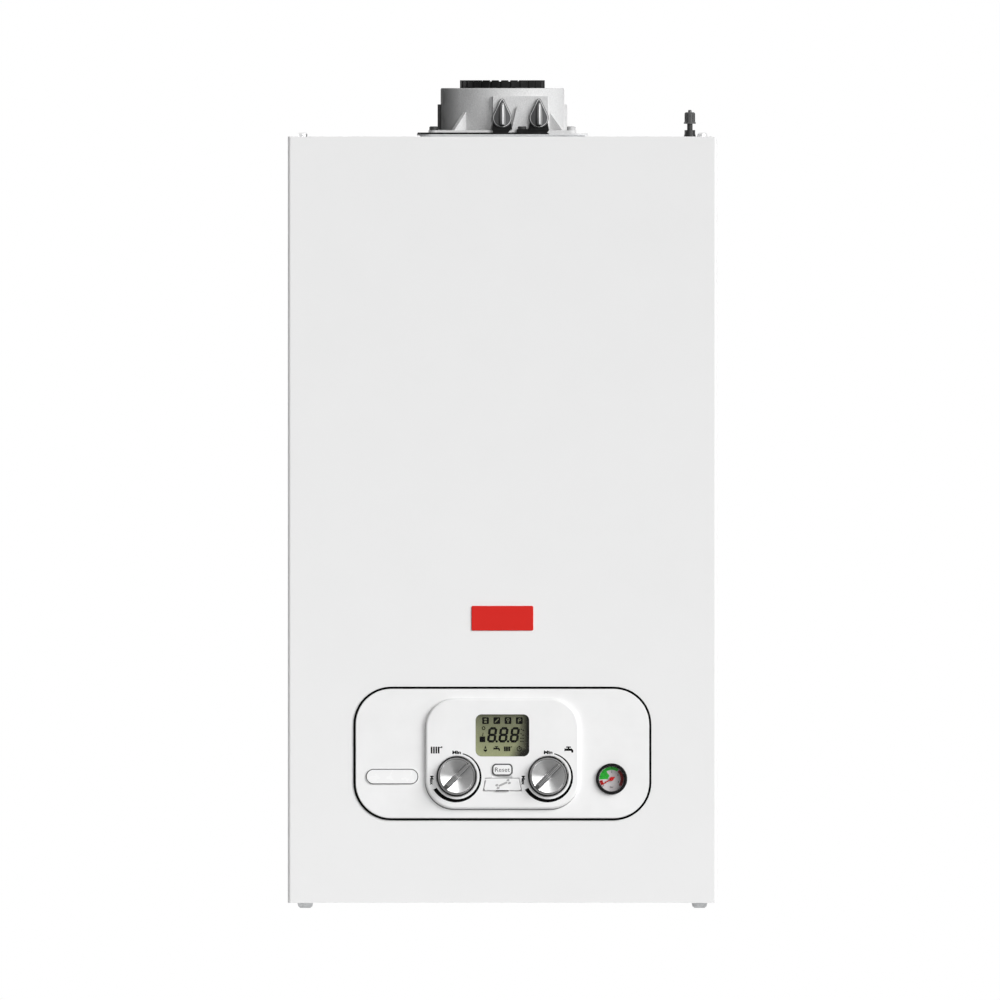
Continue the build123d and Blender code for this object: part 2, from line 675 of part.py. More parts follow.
def make_air_box():
    """Pressed air box: folded tray open to the front, with ports for flue, water and gas."""
    half, sheet = AIR_BOX_HALF, 1.2
    height = AIR_BOX_TOP - AIR_BOX_BOTTOM
    depth = AIR_BOX_BACK - AIR_BOX_FRONT
    middle = (AIR_BOX_TOP + AIR_BOX_BOTTOM) / 2
    with BuildPart() as air_box:
        with BuildSketch(front_plane(AIR_BOX_BACK)):
            with Locations((0, middle)):
                Rectangle(2 * half, height)
        extrude(amount=depth)
        offset(amount=-sheet, openings=air_box.faces().sort_by(Axis.Y)[0])
        # turned-out rim that the door seals on
        with BuildSketch(front_plane(AIR_BOX_FRONT + sheet)):
            with Locations((0, middle)):
                Rectangle(2 * half + 10, height)
                Rectangle(2 * half - 24, height - 24, mode=Mode.SUBTRACT)
        extrude(amount=sheet)
        with BuildSketch(Plane.XY.offset(AIR_BOX_TOP + 1)):
            with Locations((0, FLUE_Y)):
                Circle(53)
        extrude(amount=-4, mode=Mode.SUBTRACT)
        with BuildSketch(Plane.XY.offset(AIR_BOX_BOTTOM - 1)):
            with Locations(*[(x, WATER_Y) for x in WATER_RISERS]):
                Circle(PIPE_22_R + 1)
            with Locations((GAS_X, TAIL_Y)):
                Circle(PIPE_22_R + 1)
        extrude(amount=4, mode=Mode.SUBTRACT)
    air_box.part.label = "air_box"
    export_step(air_box.part, "parts/air_box.step")


def make_air_box_door():
    """Air box door: flat sheet with a pressed stiffening field, and the seal bead behind its edge."""
    middle = (AIR_BOX_TOP + AIR_BOX_BOTTOM) / 2
    width = 2 * AIR_BOX_HALF + 10
    height = AIR_BOX_TOP - AIR_BOX_BOTTOM
    with BuildPart() as air_box_door:
        with BuildSketch(front_plane(AIR_BOX_FRONT - 2.8)):
            with Locations((0, middle)):
                Rectangle(width, height)
        extrude(amount=1.2)
        with BuildSketch(front_plane(AIR_DOOR_FACE)):
            with Locations((0, middle)):
                RectangleRounded(width - 60, height - 60, 20)
        extrude(amount=6, taper=35)
        with BuildSketch(front_plane(AIR_BOX_FRONT - 2.8)):
            with Locations((0, middle)):
                RectangleRounded(width - 64, height - 64, 18)
        extrude(amount=5, taper=35, mode=Mode.SUBTRACT)
        with BuildSketch(front_plane(AIR_BOX_FRONT)):
            with Locations((0, middle)):
                Rectangle(width - 4, height - 4)
                Rectangle(width - 30, height - 30, mode=Mode.SUBTRACT)
        extrude(amount=2.8)
    air_box_door.part.label = "air_box_door"
    export_step(air_box_door.part, "parts/air_box_door.step")


def make_heat_exchanger():
    """Round exchanger shell with its coil ribs showing, open at the front, and two water spigots."""
    ribs = 6
    back, front = AIR_BOX_BACK - 1.2, EXCHANGER_FRONT
    pitch = (back - front - 20) / ribs
    profile = [(0, back), (EXCHANGER_R - 6, back)]
    for rib in range(ribs):
        start = back - 8 - rib * pitch
        profile += [(EXCHANGER_R - 4, start), (EXCHANGER_R, start - 0.25 * pitch),
                    (EXCHANGER_R, start - 0.7 * pitch), (EXCHANGER_R - 4, start - pitch + 1)]
    profile += [(EXCHANGER_R - 4, front + 6), (EXCHANGER_R, front + 4), (EXCHANGER_R, front),
                (EXCHANGER_CORE_R, front), (EXCHANGER_CORE_R, back - 12), (0, back - 12)]
    with BuildPart() as heat_exchanger:
        with BuildSketch(Plane.XY.offset(EXCHANGER_Z)):
            with BuildLine():
                Polyline(*[(EXCHANGER_X + r, y) for r, y in profile], close=True)
            make_face()
        revolve(axis=Axis((EXCHANGER_X, 0, EXCHANGER_Z), (0, 1, 0)))
        with BuildSketch(Plane.XY.offset(SPIGOT_Z)):
            with Locations(*[(x, WATER_Y) for x in WATER_RISERS]):
                Circle(14)
        extrude(amount=60)
        with BuildSketch(front_plane(front - 1)):
            with Locations((EXCHANGER_X, EXCHANGER_Z)):
                Circle(EXCHANGER_CORE_R)
        extrude(amount=-(back - 12 - front + 1), mode=Mode.SUBTRACT)
    heat_exchanger.part.label = "heat_exchanger"
    export_step(heat_exchanger.part, "parts/heat_exchanger.step")


def make_burner_door():
    """Cast burner door with a rim, four nuts and the port for the mixture duct."""
    centre = (EXCHANGER_X, EXCHANGER_Z)
    with BuildPart() as burner_door:
        with BuildSketch(front_plane(EXCHANGER_FRONT)):
            with Locations(centre):
                Circle(88)
                Circle(20, mode=Mode.SUBTRACT)
        extrude(amount=5)
        with BuildSketch(front_plane(EXCHANGER_FRONT - 5)):
            with Locations(centre):
                Circle(70)
                Circle(60, mode=Mode.SUBTRACT)
        extrude(amount=3)
        with BuildSketch(front_plane(EXCHANGER_FRONT)):
            with Locations(centre):
                with PolarLocations(79, 4, start_angle=45):
                    RegularPolygon(6, 6)
        extrude(amount=9)
    burner_door.part.label = "burner_door"
    export_step(burner_door.part, "parts/burner_door.step")


def make_burner():
    """Perforated cylindrical burner, its flange clamped behind the door."""
    with BuildPart() as burner:
        with BuildSketch(Plane.XY.offset(EXCHANGER_Z)):
            with BuildLine():
                Polyline(*[(EXCHANGER_X + r, EXCHANGER_FRONT + y) for r, y in
                           ((31, 0), (48, 0), (48, 2), (35, 2), (35, 68), (31, 72), (0, 72), (0, 70),
                            (30, 70), (33, 66), (33, 2), (31, 2))], close=True)
            make_face()
        revolve(axis=Axis((EXCHANGER_X, 0, EXCHANGER_Z), (0, 1, 0)))
        with BuildSketch(Plane.YZ.offset(EXCHANGER_X)):
            with Locations(*[(EXCHANGER_FRONT + 12 + 14 * row, EXCHANGER_Z) for row in range(4)]):
                SlotOverall(9, 4, rotation=90)
        extrude(amount=60, both=True, mode=Mode.SUBTRACT)
    burner.part.label = "burner"
    export_step(burner.part, "parts/burner.step")


def make_electrodes():
    """Spark and flame-sensing electrodes: ceramic bodies through the door, bent rods beside the burner."""
    with BuildPart() as electrodes:
        for angle in (240, 300):
            x = EXCHANGER_X + 53 * cos(radians(angle))
            z = EXCHANGER_Z + 53 * sin(radians(angle))
            with BuildSketch(front_plane(EXCHANGER_FRONT - 22)):
                with Locations((x, z)):
                    Circle(4)
            extrude(amount=-17)
            with BuildSketch(front_plane(EXCHANGER_FRONT - 5)):
                with Locations((x, z)):
                    RegularPolygon(7, 6)
            extrude(amount=3)
    electrodes.part.label = "electrodes"
    export_step(electrodes.part, "parts/electrodes.step")


def make_fan():
    """Volute housing, bladed impeller on its shaft and the motor in front of it."""
    back, front = FAN_BACK, FAN_FRONT
    centre = (FAN_X, FAN_Z)
    with BuildPart() as fan_housing:
        with BuildSketch(front_plane(back)):
            with Locations(centre):
                Circle(FAN_R)
            with Locations((MIXTURE_X + (FAN_X - MIXTURE_X) / 2, FAN_Z - FAN_R + DUCT_H / 2)):
                Rectangle(FAN_X - MIXTURE_X, DUCT_H)
        extrude(amount=back - front)
        with BuildSketch(front_plane(back - 3)):
            with Locations(centre):
                Circle(FAN_R - 4)
            with Locations((MIXTURE_X + (FAN_X - MIXTURE_X) / 2 - 1, FAN_Z - FAN_R + DUCT_H / 2)):
                Rectangle(FAN_X - MIXTURE_X + 2, DUCT_H - 6)
        extrude(amount=back - front - 6, mode=Mode.SUBTRACT)
        with BuildSketch(front_plane(back + 1)):
            with Locations(centre):
                Circle(22)
        extrude(amount=5, mode=Mode.SUBTRACT)
        with BuildSketch(front_plane(front - 1)):
            with Locations(centre):
                Circle(6)
        extrude(amount=-6, mode=Mode.SUBTRACT)
    fan_housing.part.label = "fan_housing"
    export_step(fan_housing.part, "parts/fan_housing.step")

    blades = 9
    with BuildPart() as fan_impeller:
        with BuildSketch(front_plane(front + 6)):
            with Locations(centre):
                Circle(50)
        extrude(amount=-1.6)
        with BuildSketch(front_plane(front + 6)):
            with Locations(centre):
                Circle(9)
                with PolarLocations(36, blades):
                    Rectangle(26, 1.6, rotation=32)
        extrude(amount=-22)
        with BuildSketch(front_plane(front + 6)):
            with Locations(centre):
                Circle(SPINDLE_R)
        extrude(amount=20)
    fan_impeller.part.label = "fan_impeller"
    export_step(fan_impeller.part, "parts/fan_impeller.step")

    with BuildPart() as fan_motor:
        with BuildSketch(front_plane(front)):
            with Locations(centre):
                Circle(36)
        extrude(amount=26)
        chamfer(fan_motor.faces().sort_by(Axis.Y)[0].edges(), 3)
        with BuildSketch(front_plane(front)):
            with Locations((FAN_X, FAN_Z + 40)):
                Rectangle(26, 18)
        extrude(amount=14)
        with BuildSketch(front_plane(front + 1)):
            with Locations(centre):
                Circle(SPINDLE_BORE_R)
        extrude(amount=17, mode=Mode.SUBTRACT)
    fan_motor.part.label = "fan_motor"
    export_step(fan_motor.part, "parts/fan_motor.step")


def make_mixture_train():
    """Venturi behind the fan, gas valve below it and the duct from the fan to the burner door."""
    with BuildPart() as venturi:
        with BuildSketch(Plane.XY.offset(FAN_Z)):
            with BuildLine():
                Polyline(*[(FAN_X + r, FAN_BACK + y) for r, y in
                           ((22, 0), (30, 0), (30, 4), (25, 6), (20, 24), (25, 46), (28, 52), (25, 52),
                            (17, 24), (22, 4))], close=True)
            make_face()
        revolve(axis=Axis((FAN_X, 0, FAN_Z), (0, 1, 0)))
        with BuildSketch(Plane.XY.offset(GAS_VALVE_TOP)):
            with Locations((FAN_X, FAN_BACK + 24)):
                Circle(7)
        extrude(amount=FAN_Z - 20 - GAS_VALVE_TOP)
    venturi.part.label = "venturi"
    export_step(venturi.part, "parts/venturi.step")

    with BuildPart() as gas_valve:
        with BuildSketch(Plane.XY.offset(GAS_VALVE_TOP)):
            with Locations((GAS_X, TAIL_Y)):
                RectangleRounded(52, 46, 5)
        extrude(amount=-48)
        with BuildSketch(Plane.XY.offset(GAS_VALVE_TOP - 48)):
            with Locations((GAS_X, TAIL_Y)):
                Circle(15)
        extrude(amount=-10)
        for z in (GAS_VALVE_TOP - 14, GAS_VALVE_TOP - 35):
            with BuildSketch(front_plane(TAIL_Y - 23)):
                with Locations((GAS_X, z)):
                    RectangleRounded(34, 17, 3)
            extrude(amount=20)
    gas_valve.part.label = "gas_valve"
    export_step(gas_valve.part, "parts/gas_valve.step")

    with BuildPart() as mixture_duct:
        with BuildSketch(Plane.XY.offset(FAN_Z - FAN_R)):
            with BuildLine():
                Polyline(
                    (MIXTURE_X, FAN_BACK - 4), (MIXTURE_X, FAN_FRONT - 22), (MIXTURE_X - 8, FAN_FRONT - 32),
                    (EXCHANGER_X - 20, FAN_FRONT - 32), (EXCHANGER_X - 34, FAN_FRONT - 22),
                    (EXCHANGER_X - 34, EXCHANGER_FRONT - 8), (MIXTURE_X - 12, EXCHANGER_FRONT - 8),
                    (MIXTURE_X - 12, FAN_BACK - 4), close=True,
                )
            make_face()
        extrude(amount=DUCT_H)
        fillet(mixture_duct.faces().sort_by(Axis.Y)[0].edges().filter_by(Axis.X), 6)
    mixture_duct.part.label = "mixture_duct"
    export_step(mixture_duct.part, "parts/mixture_duct.step")


def make_flue_duct():
    """Exhaust pipe from a saddle on the exchanger up into the adaptor's inner socket."""
    with BuildPart() as flue_duct:
        with BuildSketch(Plane.XY.offset(EXCHANGER_Z)):
            with Locations((0, FLUE_Y)):
                Circle(FLUE_INNER_R - 0.2)
        extrude(amount=SOCKET_STOP - 2.2 - EXCHANGER_Z)
        with BuildSketch(Plane.XY.offset(EXCHANGER_Z)):
            with Locations((0, FLUE_Y)):
                Circle(33)
        extrude(amount=95)
        with BuildSketch(Plane.XY.offset(EXCHANGER_Z)):
            with Locations((0, FLUE_Y)):
                Circle(27)
        extrude(amount=300, mode=Mode.SUBTRACT)
        with BuildSketch(front_plane(0)):
            with Locations((EXCHANGER_X, EXCHANGER_Z)):
                Circle(EXCHANGER_R)
        extrude(amount=300, mode=Mode.SUBTRACT)
        split(bisect_by=Plane.XY.offset(EXCHANGER_Z + 30))
    flue_duct.part.label = "flue_duct"
    export_step(flue_duct.part, "parts/flue_duct.step")


# ---------------------------------------------------------------- water side
def make_pump():
    """Circulating pump: volute with its necks and, in front of it, the wet motor with terminal box."""
    centre = (BLOCK_X, PUMP_Z)
    with BuildPart() as pump_body:
        with BuildSketch(front_plane(WATER_Y + 22)):
            with Locations(centre):
                Circle(PUMP_R)
        extrude(amount=46)
        chamfer(pump_body.faces().sort_by(Axis.Y)[-1].edges(), 8)
        with BuildSketch(Plane.XY.offset(BLOCK_TOP)):
            with Locations((BLOCK_X, WATER_Y)):
                Circle(16)
        extrude(amount=PUMP_Z - BLOCK_TOP)
        with BuildSketch(Plane.XY.offset(PUMP_Z)):
            with Locations((BLOCK_X - 20, WATER_Y), (BLOCK_X + 22, WATER_Y)):
                Circle(12)
        extrude(amount=PUMP_R + 4)
    pump_body.part.label = "pump_body"
    export_step(pump_body.part, "parts/pump_body.step")

    with BuildPart() as pump_motor:
        with BuildSketch(front_plane(WATER_Y - 24)):
            with Locations(centre):
                RectangleRounded(84, 84, 16)
        extrude(amount=6)
        with BuildSketch(front_plane(WATER_Y - 30)):
            with Locations(centre):
                Circle(37)
        extrude(amount=50)
        chamfer(pump_motor.faces().sort_by(Axis.Y)[0].edges(), 4)
        with BuildSketch(front_plane(WATER_Y - 80)):
            with Locations(centre):
                Circle(11)
        extrude(amount=3)
        with BuildSketch(front_plane(WATER_Y - 34)):
            with Locations((BLOCK_X - 44, PUMP_Z)):
                RectangleRounded(30, 46, 5)
        extrude(amount=36)
    pump_motor.part.label = "pump_motor"
    export_step(pump_motor.part, "parts/pump_motor.step")


def water_block(side):
    """Outline of a moulded hydraulic block: a tower over the 22 mm tail, a low arm over the 15 mm one."""
    with BuildSketch(front_plane(BLOCK_BACK)) as outline:
        with BuildLine():
            Polyline(
                (side * 164, BLOCK_BOTTOM), (side * 48, BLOCK_BOTTOM), (side * 48, BLOCK_BOTTOM + 38),
                (side * 92, BLOCK_BOTTOM + 42), (side * 98, BLOCK_TOP), (side * 164, BLOCK_TOP), close=True,
            )
        make_face()
        fillet(outline.vertices(), 3)
    return outline.sketch


def make_return_block():
    """Right-hand block: heating return and cold inlet, with the boss of the relief valve in front."""
    with BuildPart() as return_block:
        extrude(water_block(1), amount=BLOCK_BACK - BLOCK_FRONT)
        with BuildSketch(front_plane(BLOCK_FRONT)):
            with Locations((RELIEF_X, RELIEF_Z)):
                Circle(13)
        extrude(amount=18)
        with BuildSketch(Plane.XY.offset(RELIEF_Z - 22)):
            with Locations((RELIEF_X, RELIEF_Y)):
                Circle(7.8)
        extrude(amount=22)
        with BuildSketch(front_plane(BLOCK_FRONT - 19)):
            with Locations((RELIEF_X, RELIEF_Z)):
                Circle(SPINDLE_BORE_R)
        extrude(amount=-14, mode=Mode.SUBTRACT)
        with BuildSketch(front_plane(BLOCK_FRONT)):
            with Locations((BLOCK_X + 12, BLOCK_TOP - 26)):
                Circle(14)
        extrude(amount=8)
    return_block.part.label = "return_block"
    export_step(return_block.part, "parts/return_block.step")


def make_flow_block():
    """Left-hand block: heating flow and hot-water outlet, with the riser port and the diverter seat."""
    with BuildPart() as flow_block:
        extrude(water_block(-1), amount=BLOCK_BACK - BLOCK_FRONT)
        with BuildSketch(Plane.XY.offset(BLOCK_TOP)):
            with Locations((WATER_RISERS[0], WATER_Y)):
                Circle(14)
            with Locations((DIVERTER_X, WATER_Y)):
                Circle(13)
        extrude(amount=14)
        with BuildSketch(front_plane(BLOCK_FRONT)):
            with Locations((-BLOCK_X, BLOCK_TOP - 26), (-70, BLOCK_BOTTOM + 20)):
                Circle(12)
        extrude(amount=8)
    flow_block.part.label = "flow_block"
    export_step(flow_block.part, "parts/flow_block.step")

    with BuildPart() as diverter_motor:
        with BuildSketch(Plane.XY.offset(BLOCK_TOP + 14)):
            with Locations((DIVERTER_X, WATER_Y)):
                Circle(17)
        extrude(amount=8)
        with BuildSketch(Plane.XY.offset(BLOCK_TOP + 22)):
            with Locations((DIVERTER_X, WATER_Y - 6)):
                RectangleRounded(36, 52, 8)
        extrude(amount=40)
        chamfer(diverter_motor.faces().sort_by(Axis.Z)[-1].edges(), 3)
    diverter_motor.part.label = "diverter_motor"
    export_step(diverter_motor.part, "parts/diverter_motor.step")


def make_plate_exchanger():
    """Brazed plate heat exchanger: a stack of dished plates with visible edges between end plates."""
    plates = 9
    length, height = 166.0, 74.0
    pitch = (PLATE_HX_BACK - BLOCK_BACK - 4) / plates
    with BuildPart() as plate_heat_exchanger:
        with BuildSketch(front_plane(PLATE_HX_BACK)):
            with Locations((0, PLATE_HX_Z)):
                Rectangle(length - 5, height - 5)
        extrude(amount=PLATE_HX_BACK - BLOCK_BACK)
        for plate in range(plates):
            with BuildSketch(front_plane(PLATE_HX_BACK - 2 - plate * pitch)):
                with Locations((0, PLATE_HX_Z)):
                    RectangleRounded(length, height, 10)
            extrude(amount=0.55 * pitch)
    plate_heat_exchanger.part.label = "plate_heat_exchanger"
    export_step(plate_heat_exchanger.part, "parts/plate_heat_exchanger.step")


def make_small_water_parts():
    """Automatic air vent over the pump, relief valve knob, condensate trap with its U and inlet."""
    with BuildPart() as air_vent:
        for bottom, top, r in ((PUMP_R + 4, 60, 9), (60, 92, 15), (92, 100, 7)):
            with BuildSketch(Plane.XY.offset(PUMP_Z + bottom)):
                with Locations((BLOCK_X + 22, WATER_Y)):
                    Circle(r)
            extrude(amount=top - bottom)
    air_vent.part.label = "air_vent"
    export_step(air_vent.part, "parts/air_vent.step")

    with BuildPart() as relief_knob:
        with BuildSketch(front_plane(BLOCK_FRONT - 18.3)):
            with Locations((RELIEF_X, RELIEF_Z)):
                Circle(12)
                with PolarLocations(13, 6):
                    Circle(3.2)
        extrude(amount=16)
        with BuildSketch(front_plane(BLOCK_FRONT - 18.3)):
            with Locations((RELIEF_X, RELIEF_Z)):
                Circle(SPINDLE_R)
        extrude(amount=-12)
    relief_knob.part.label = "relief_knob"
    export_step(relief_knob.part, "parts/relief_knob.step")

    with BuildPart() as condensate_trap:
        for bottom, top, r in (
            (TRAY_Z, -440, 17), (-452, -440, 18.5), (-440, -428, 9), (TAIL_END, TRAY_Z, TRAP_OUTLET_R)
        ):
            with BuildSketch(Plane.XY.offset(bottom)):
                with Locations((TRAP_X, TRAP_Y)):
                    Circle(r)
            extrude(amount=top - bottom)
        with BuildLine(Plane.YZ.offset(TRAP_X)):
            FilletPolyline(
                (TRAP_Y, -430), (TRAP_Y, -352), (WATER_Y, -352), (WATER_Y, AIR_BOX_BOTTOM), radius=18
            )
        with BuildSketch(Plane.XY.offset(-430)):
            with Locations((TRAP_X, TRAP_Y)):
                Circle(7)
        sweep()
    condensate_trap.part.label = "condensate_trap"
    export_step(condensate_trap.part, "parts/condensate_trap.step")


def make_pipes():
    """Flow, return and gas pipes with their union nuts, and the tails below the tray."""
    with BuildPart() as flow_pipe:
        with BuildSketch(Plane.XY.offset(BLOCK_TOP + 14)):
            with Locations((WATER_RISERS[0], WATER_Y)):
                Circle(WATER_PIPE_R)
        extrude(amount=SPIGOT_Z - (BLOCK_TOP + 14))
        for z in (BLOCK_TOP + 14, SPIGOT_Z - 12):
            with BuildSketch(Plane.XY.offset(z)):
                with Locations((WATER_RISERS[0], WATER_Y)):
                    RegularPolygon(13.5, 6)
            extrude(amount=12)
    flow_pipe.part.label = "flow_pipe"
    export_step(flow_pipe.part, "parts/flow_pipe.step")

    start_x = BLOCK_X - 20
    start_z = PUMP_Z + PUMP_R + 4
    with BuildPart() as return_pipe:
        with BuildLine(front_plane(WATER_Y)):
            FilletPolyline(
                (start_x, start_z), (start_x, -338), (WATER_RISERS[1], -338), (WATER_RISERS[1], SPIGOT_Z),
                radius=22,
            )
        with BuildSketch(Plane.XY.offset(start_z)):
            with Locations((start_x, WATER_Y)):
                Circle(WATER_PIPE_R)
        sweep()
        for x, z in ((start_x, start_z), (WATER_RISERS[1], SPIGOT_Z - 12)):
            with BuildSketch(Plane.XY.offset(z)):
                with Locations((x, WATER_Y)):
                    RegularPolygon(13.5, 6)
            extrude(amount=10)
    return_pipe.part.label = "return_pipe"
    export_step(return_pipe.part, "parts/return_pipe.step")

    gas_start = TRAY_Z + 16
    gas_end = GAS_VALVE_TOP - 58
    with BuildPart() as gas_pipe:
        with BuildLine(front_plane(TAIL_Y)):
            FilletPolyline((0, gas_start), (0, -366), (GAS_X, -366), (GAS_X, gas_end), radius=24)
        with BuildSketch(Plane.XY.offset(gas_start)):
            with Locations((0, TAIL_Y)):
                Circle(WATER_PIPE_R)
        sweep()
        for x, z in ((0, gas_start), (GAS_X, gas_end - 10)):
            with BuildSketch(Plane.XY.offset(z)):
                with Locations((x, TAIL_Y)):
                    RegularPolygon(15, 6)
            extrude(amount=10)
    gas_pipe.part.label = "gas_pipe"
    export_step(gas_pipe.part, "parts/gas_pipe.step")

    tails = (("tails_22mm", TAILS_22, PIPE_22_R, (BLOCK_BOTTOM, gas_start, BLOCK_BOTTOM)),
             ("tails_15mm", TAILS_15, PIPE_15_R, (BLOCK_BOTTOM, BLOCK_BOTTOM, RELIEF_Z - 22)))
    for name, places, outside_r, tops in tails:
        with BuildPart() as tail:
            for place, top in zip(places, tops):
                with BuildSketch(Plane.XY.offset(TAIL_END)):
                    with Locations(place):
                        Circle(outside_r)
                extrude(amount=top - TAIL_END)
                with BuildSketch(Plane.XY.offset(TRAY_Z)):
                    with Locations(place):
                        RegularPolygon(outside_r + 5, 6)
                extrude(amount=9)
                with BuildSketch(Plane.XY.offset(TAIL_END)):
                    with Locations(place):
                        Circle(outside_r - 1.5)
                extrude(amount=60, mode=Mode.SUBTRACT)
        tail.part.label = name
        export_step(tail.part, f"parts/{name}.step")


# ---------------------------------------------------------------- controls
def make_control_box():
    """Moulded control box: walls all round, a framed opening behind the fascia and two fixing lugs."""
    width, height, wall = 300.0, 140.0, 2.0
    with BuildPart() as control_box:
        with BuildSketch(front_plane(BOX_BACK_Y)):
            with Locations((0, FASCIA_Z)):
                RectangleRounded(width, height, 8)
        extrude(amount=BOX_BACK_Y - BOX_RIM_Y)
        with BuildSketch(front_plane(BOX_BACK_Y - wall)):
            with Locations((0, FASCIA_Z)):
                Rectangle(width - 2 * wall, height - 2 * wall)
        extrude(amount=BOX_BACK_Y - BOX_RIM_Y - 2 * wall, mode=Mode.SUBTRACT)
        with BuildSketch(front_plane(BOX_RIM_Y)):
            with Locations((0, FASCIA_Z)):
                RectangleRounded(FASCIA_W - 8, FASCIA_H - 8, FASCIA_R - 4)
        extrude(amount=-2 * wall, mode=Mode.SUBTRACT)
        with BuildSketch(front_plane(BOX_BACK_Y - wall)):
            with Locations((BOARD_X, FASCIA_Z)):
                with GridLocations(BOARD_W - 10, BOARD_H - 10, 2, 2):
                    Circle(3.5)
        extrude(amount=BOX_BACK_Y - wall - BOARD_Y - 1.6)
        bottom = FASCIA_Z - height / 2
        with BuildSketch(Plane.XY.offset(TRAY_Z)):
            with Locations((-132, BOX_BACK_Y - 3), (132, BOX_BACK_Y - 3)):
                Rectangle(24, 30)
        extrude(amount=bottom - TRAY_Z)
    control_box.part.label = "control_box"
    export_step(control_box.part, "parts/control_box.step")


def make_fascia():
    """Rounded plate with a softened edge and a skirt behind, open for the moulding and the gauge."""
    with BuildPart() as fascia:
        with BuildSketch(front_plane(BOX_RIM_Y)):
            with Locations((0, FASCIA_Z)):
                RectangleRounded(FASCIA_W, FASCIA_H, FASCIA_R)
        extrude(amount=BOX_RIM_Y - FASCIA_FACE_Y)
        chamfer(fascia.faces().sort_by(Axis.Y)[0].edges(), 0.9)
        with BuildSketch(front_plane(BOX_RIM_Y)):
            with Locations((0, FASCIA_Z)):
                RectangleRounded(FASCIA_W - 5, FASCIA_H - 5, FASCIA_R - 2.5)
        extrude(amount=3.2, mode=Mode.SUBTRACT)
        with BuildSketch(front_plane(BOX_RIM_Y)):
            with Locations((0, FASCIA_Z)):
                RectangleRounded(MOULDING_W - 6, MOULDING_H - 6, MOULDING_R - 3)
            with Locations((GAUGE_X, GAUGE_Z)):
                Circle(GAUGE_BEZEL_R - 0.3)
        extrude(amount=10, mode=Mode.SUBTRACT)
    fascia.part.label = "fascia"
    export_step(fascia.part, "parts/fascia.step")


def flap_outline(grow, corner_r):
    """The flap's trapezoid, grown all round by a clearance, its top corners rounded."""
    top, foot = FLAP_Z + FLAP_H / 2 + grow, FLAP_Z - FLAP_H / 2 - grow
    with BuildSketch(front_plane(MOULDING_FACE_Y)) as outline:
        with BuildLine():
            Polyline(
                (-FLAP_BOTTOM_W / 2 - grow, foot), (FLAP_BOTTOM_W / 2 + grow, foot),
                (FLAP_TOP_W / 2 + grow, top), (-FLAP_TOP_W / 2 - grow, top), close=True,
            )
        make_face()
        fillet(outline.vertices().group_by(Axis.Z)[-1], corner_r)
    return outline.sketch


def make_fascia_moulding():
    """Raised centre moulding with knob wells, display window, button opening, flap pocket and scoop."""
    plate_back = MOULDING_FACE_Y + MOULDING_PLATE
    spigot_w, spigot_h, spigot_r = MOULDING_W - 6.4, MOULDING_H - 6.4, MOULDING_R - 3.2
    with BuildPart() as fascia_moulding:
        with BuildSketch(front_plane(FASCIA_FACE_Y)):
            with Locations((0, FASCIA_Z)):
                RectangleRounded(MOULDING_W, MOULDING_H, MOULDING_R)
        extrude(amount=MOULDING_RISE)
        fillet(fascia_moulding.faces().sort_by(Axis.Y)[0].edges(), 2.4)
        with BuildSketch(front_plane(FASCIA_FACE_Y)):
            with Locations((0, FASCIA_Z)):
                RectangleRounded(spigot_w, spigot_h, spigot_r)
        extrude(amount=-5)
        with BuildSketch(front_plane(FASCIA_FACE_Y + 5)):
            with Locations((0, FASCIA_Z)):
                RectangleRounded(spigot_w - 5, spigot_h - 5, spigot_r - 2.5)
        extrude(amount=FASCIA_FACE_Y + 5 - plate_back, mode=Mode.SUBTRACT)
        with BuildSketch(front_plane(WELL_FLOOR_Y)):
            with Locations((-KNOB_X, KNOB_Z), (KNOB_X, KNOB_Z)):
                Circle(KNOB_WELL_R)
        extrude(amount=5, mode=Mode.SUBTRACT)
        with BuildSketch(front_plane(plate_back + 1)):
            with Locations((-KNOB_X, KNOB_Z), (KNOB_X, KNOB_Z)):
                Circle(SPINDLE_R + 0.6)
            with Locations((0, DISPLAY_Z)):
                RectangleRounded(DISPLAY_W, DISPLAY_H, DISPLAY_R)
            with Locations((0, RESET_Z)):
                RectangleRounded(RESET_W, RESET_H, 3.8)
        extrude(amount=12, mode=Mode.SUBTRACT)
        extrude(flap_outline(FLAP_GAP, 0.5), amount=-4.2, mode=Mode.SUBTRACT)
        with BuildSketch(Plane.YZ.offset(-FLAP_TOP_W / 2 - 1.8)):
            with Locations((HINGE_Y, HINGE_Z)):
                Circle(HINGE_PIN_R + 0.06)
        extrude(amount=FLAP_TOP_W + 3.6, mode=Mode.SUBTRACT)
        # the lower half of a ball leaves a crescent for the finger below the flap
        with Locations((0, MOULDING_FACE_Y - SCOOP_R + SCOOP_DEPTH, FLAP_Z)):
            Sphere(SCOOP_R, arc_size2=0, mode=Mode.SUBTRACT)
    fascia_moulding.part.label = "fascia_moulding"
    export_step(fascia_moulding.part, "parts/fascia_moulding.step")


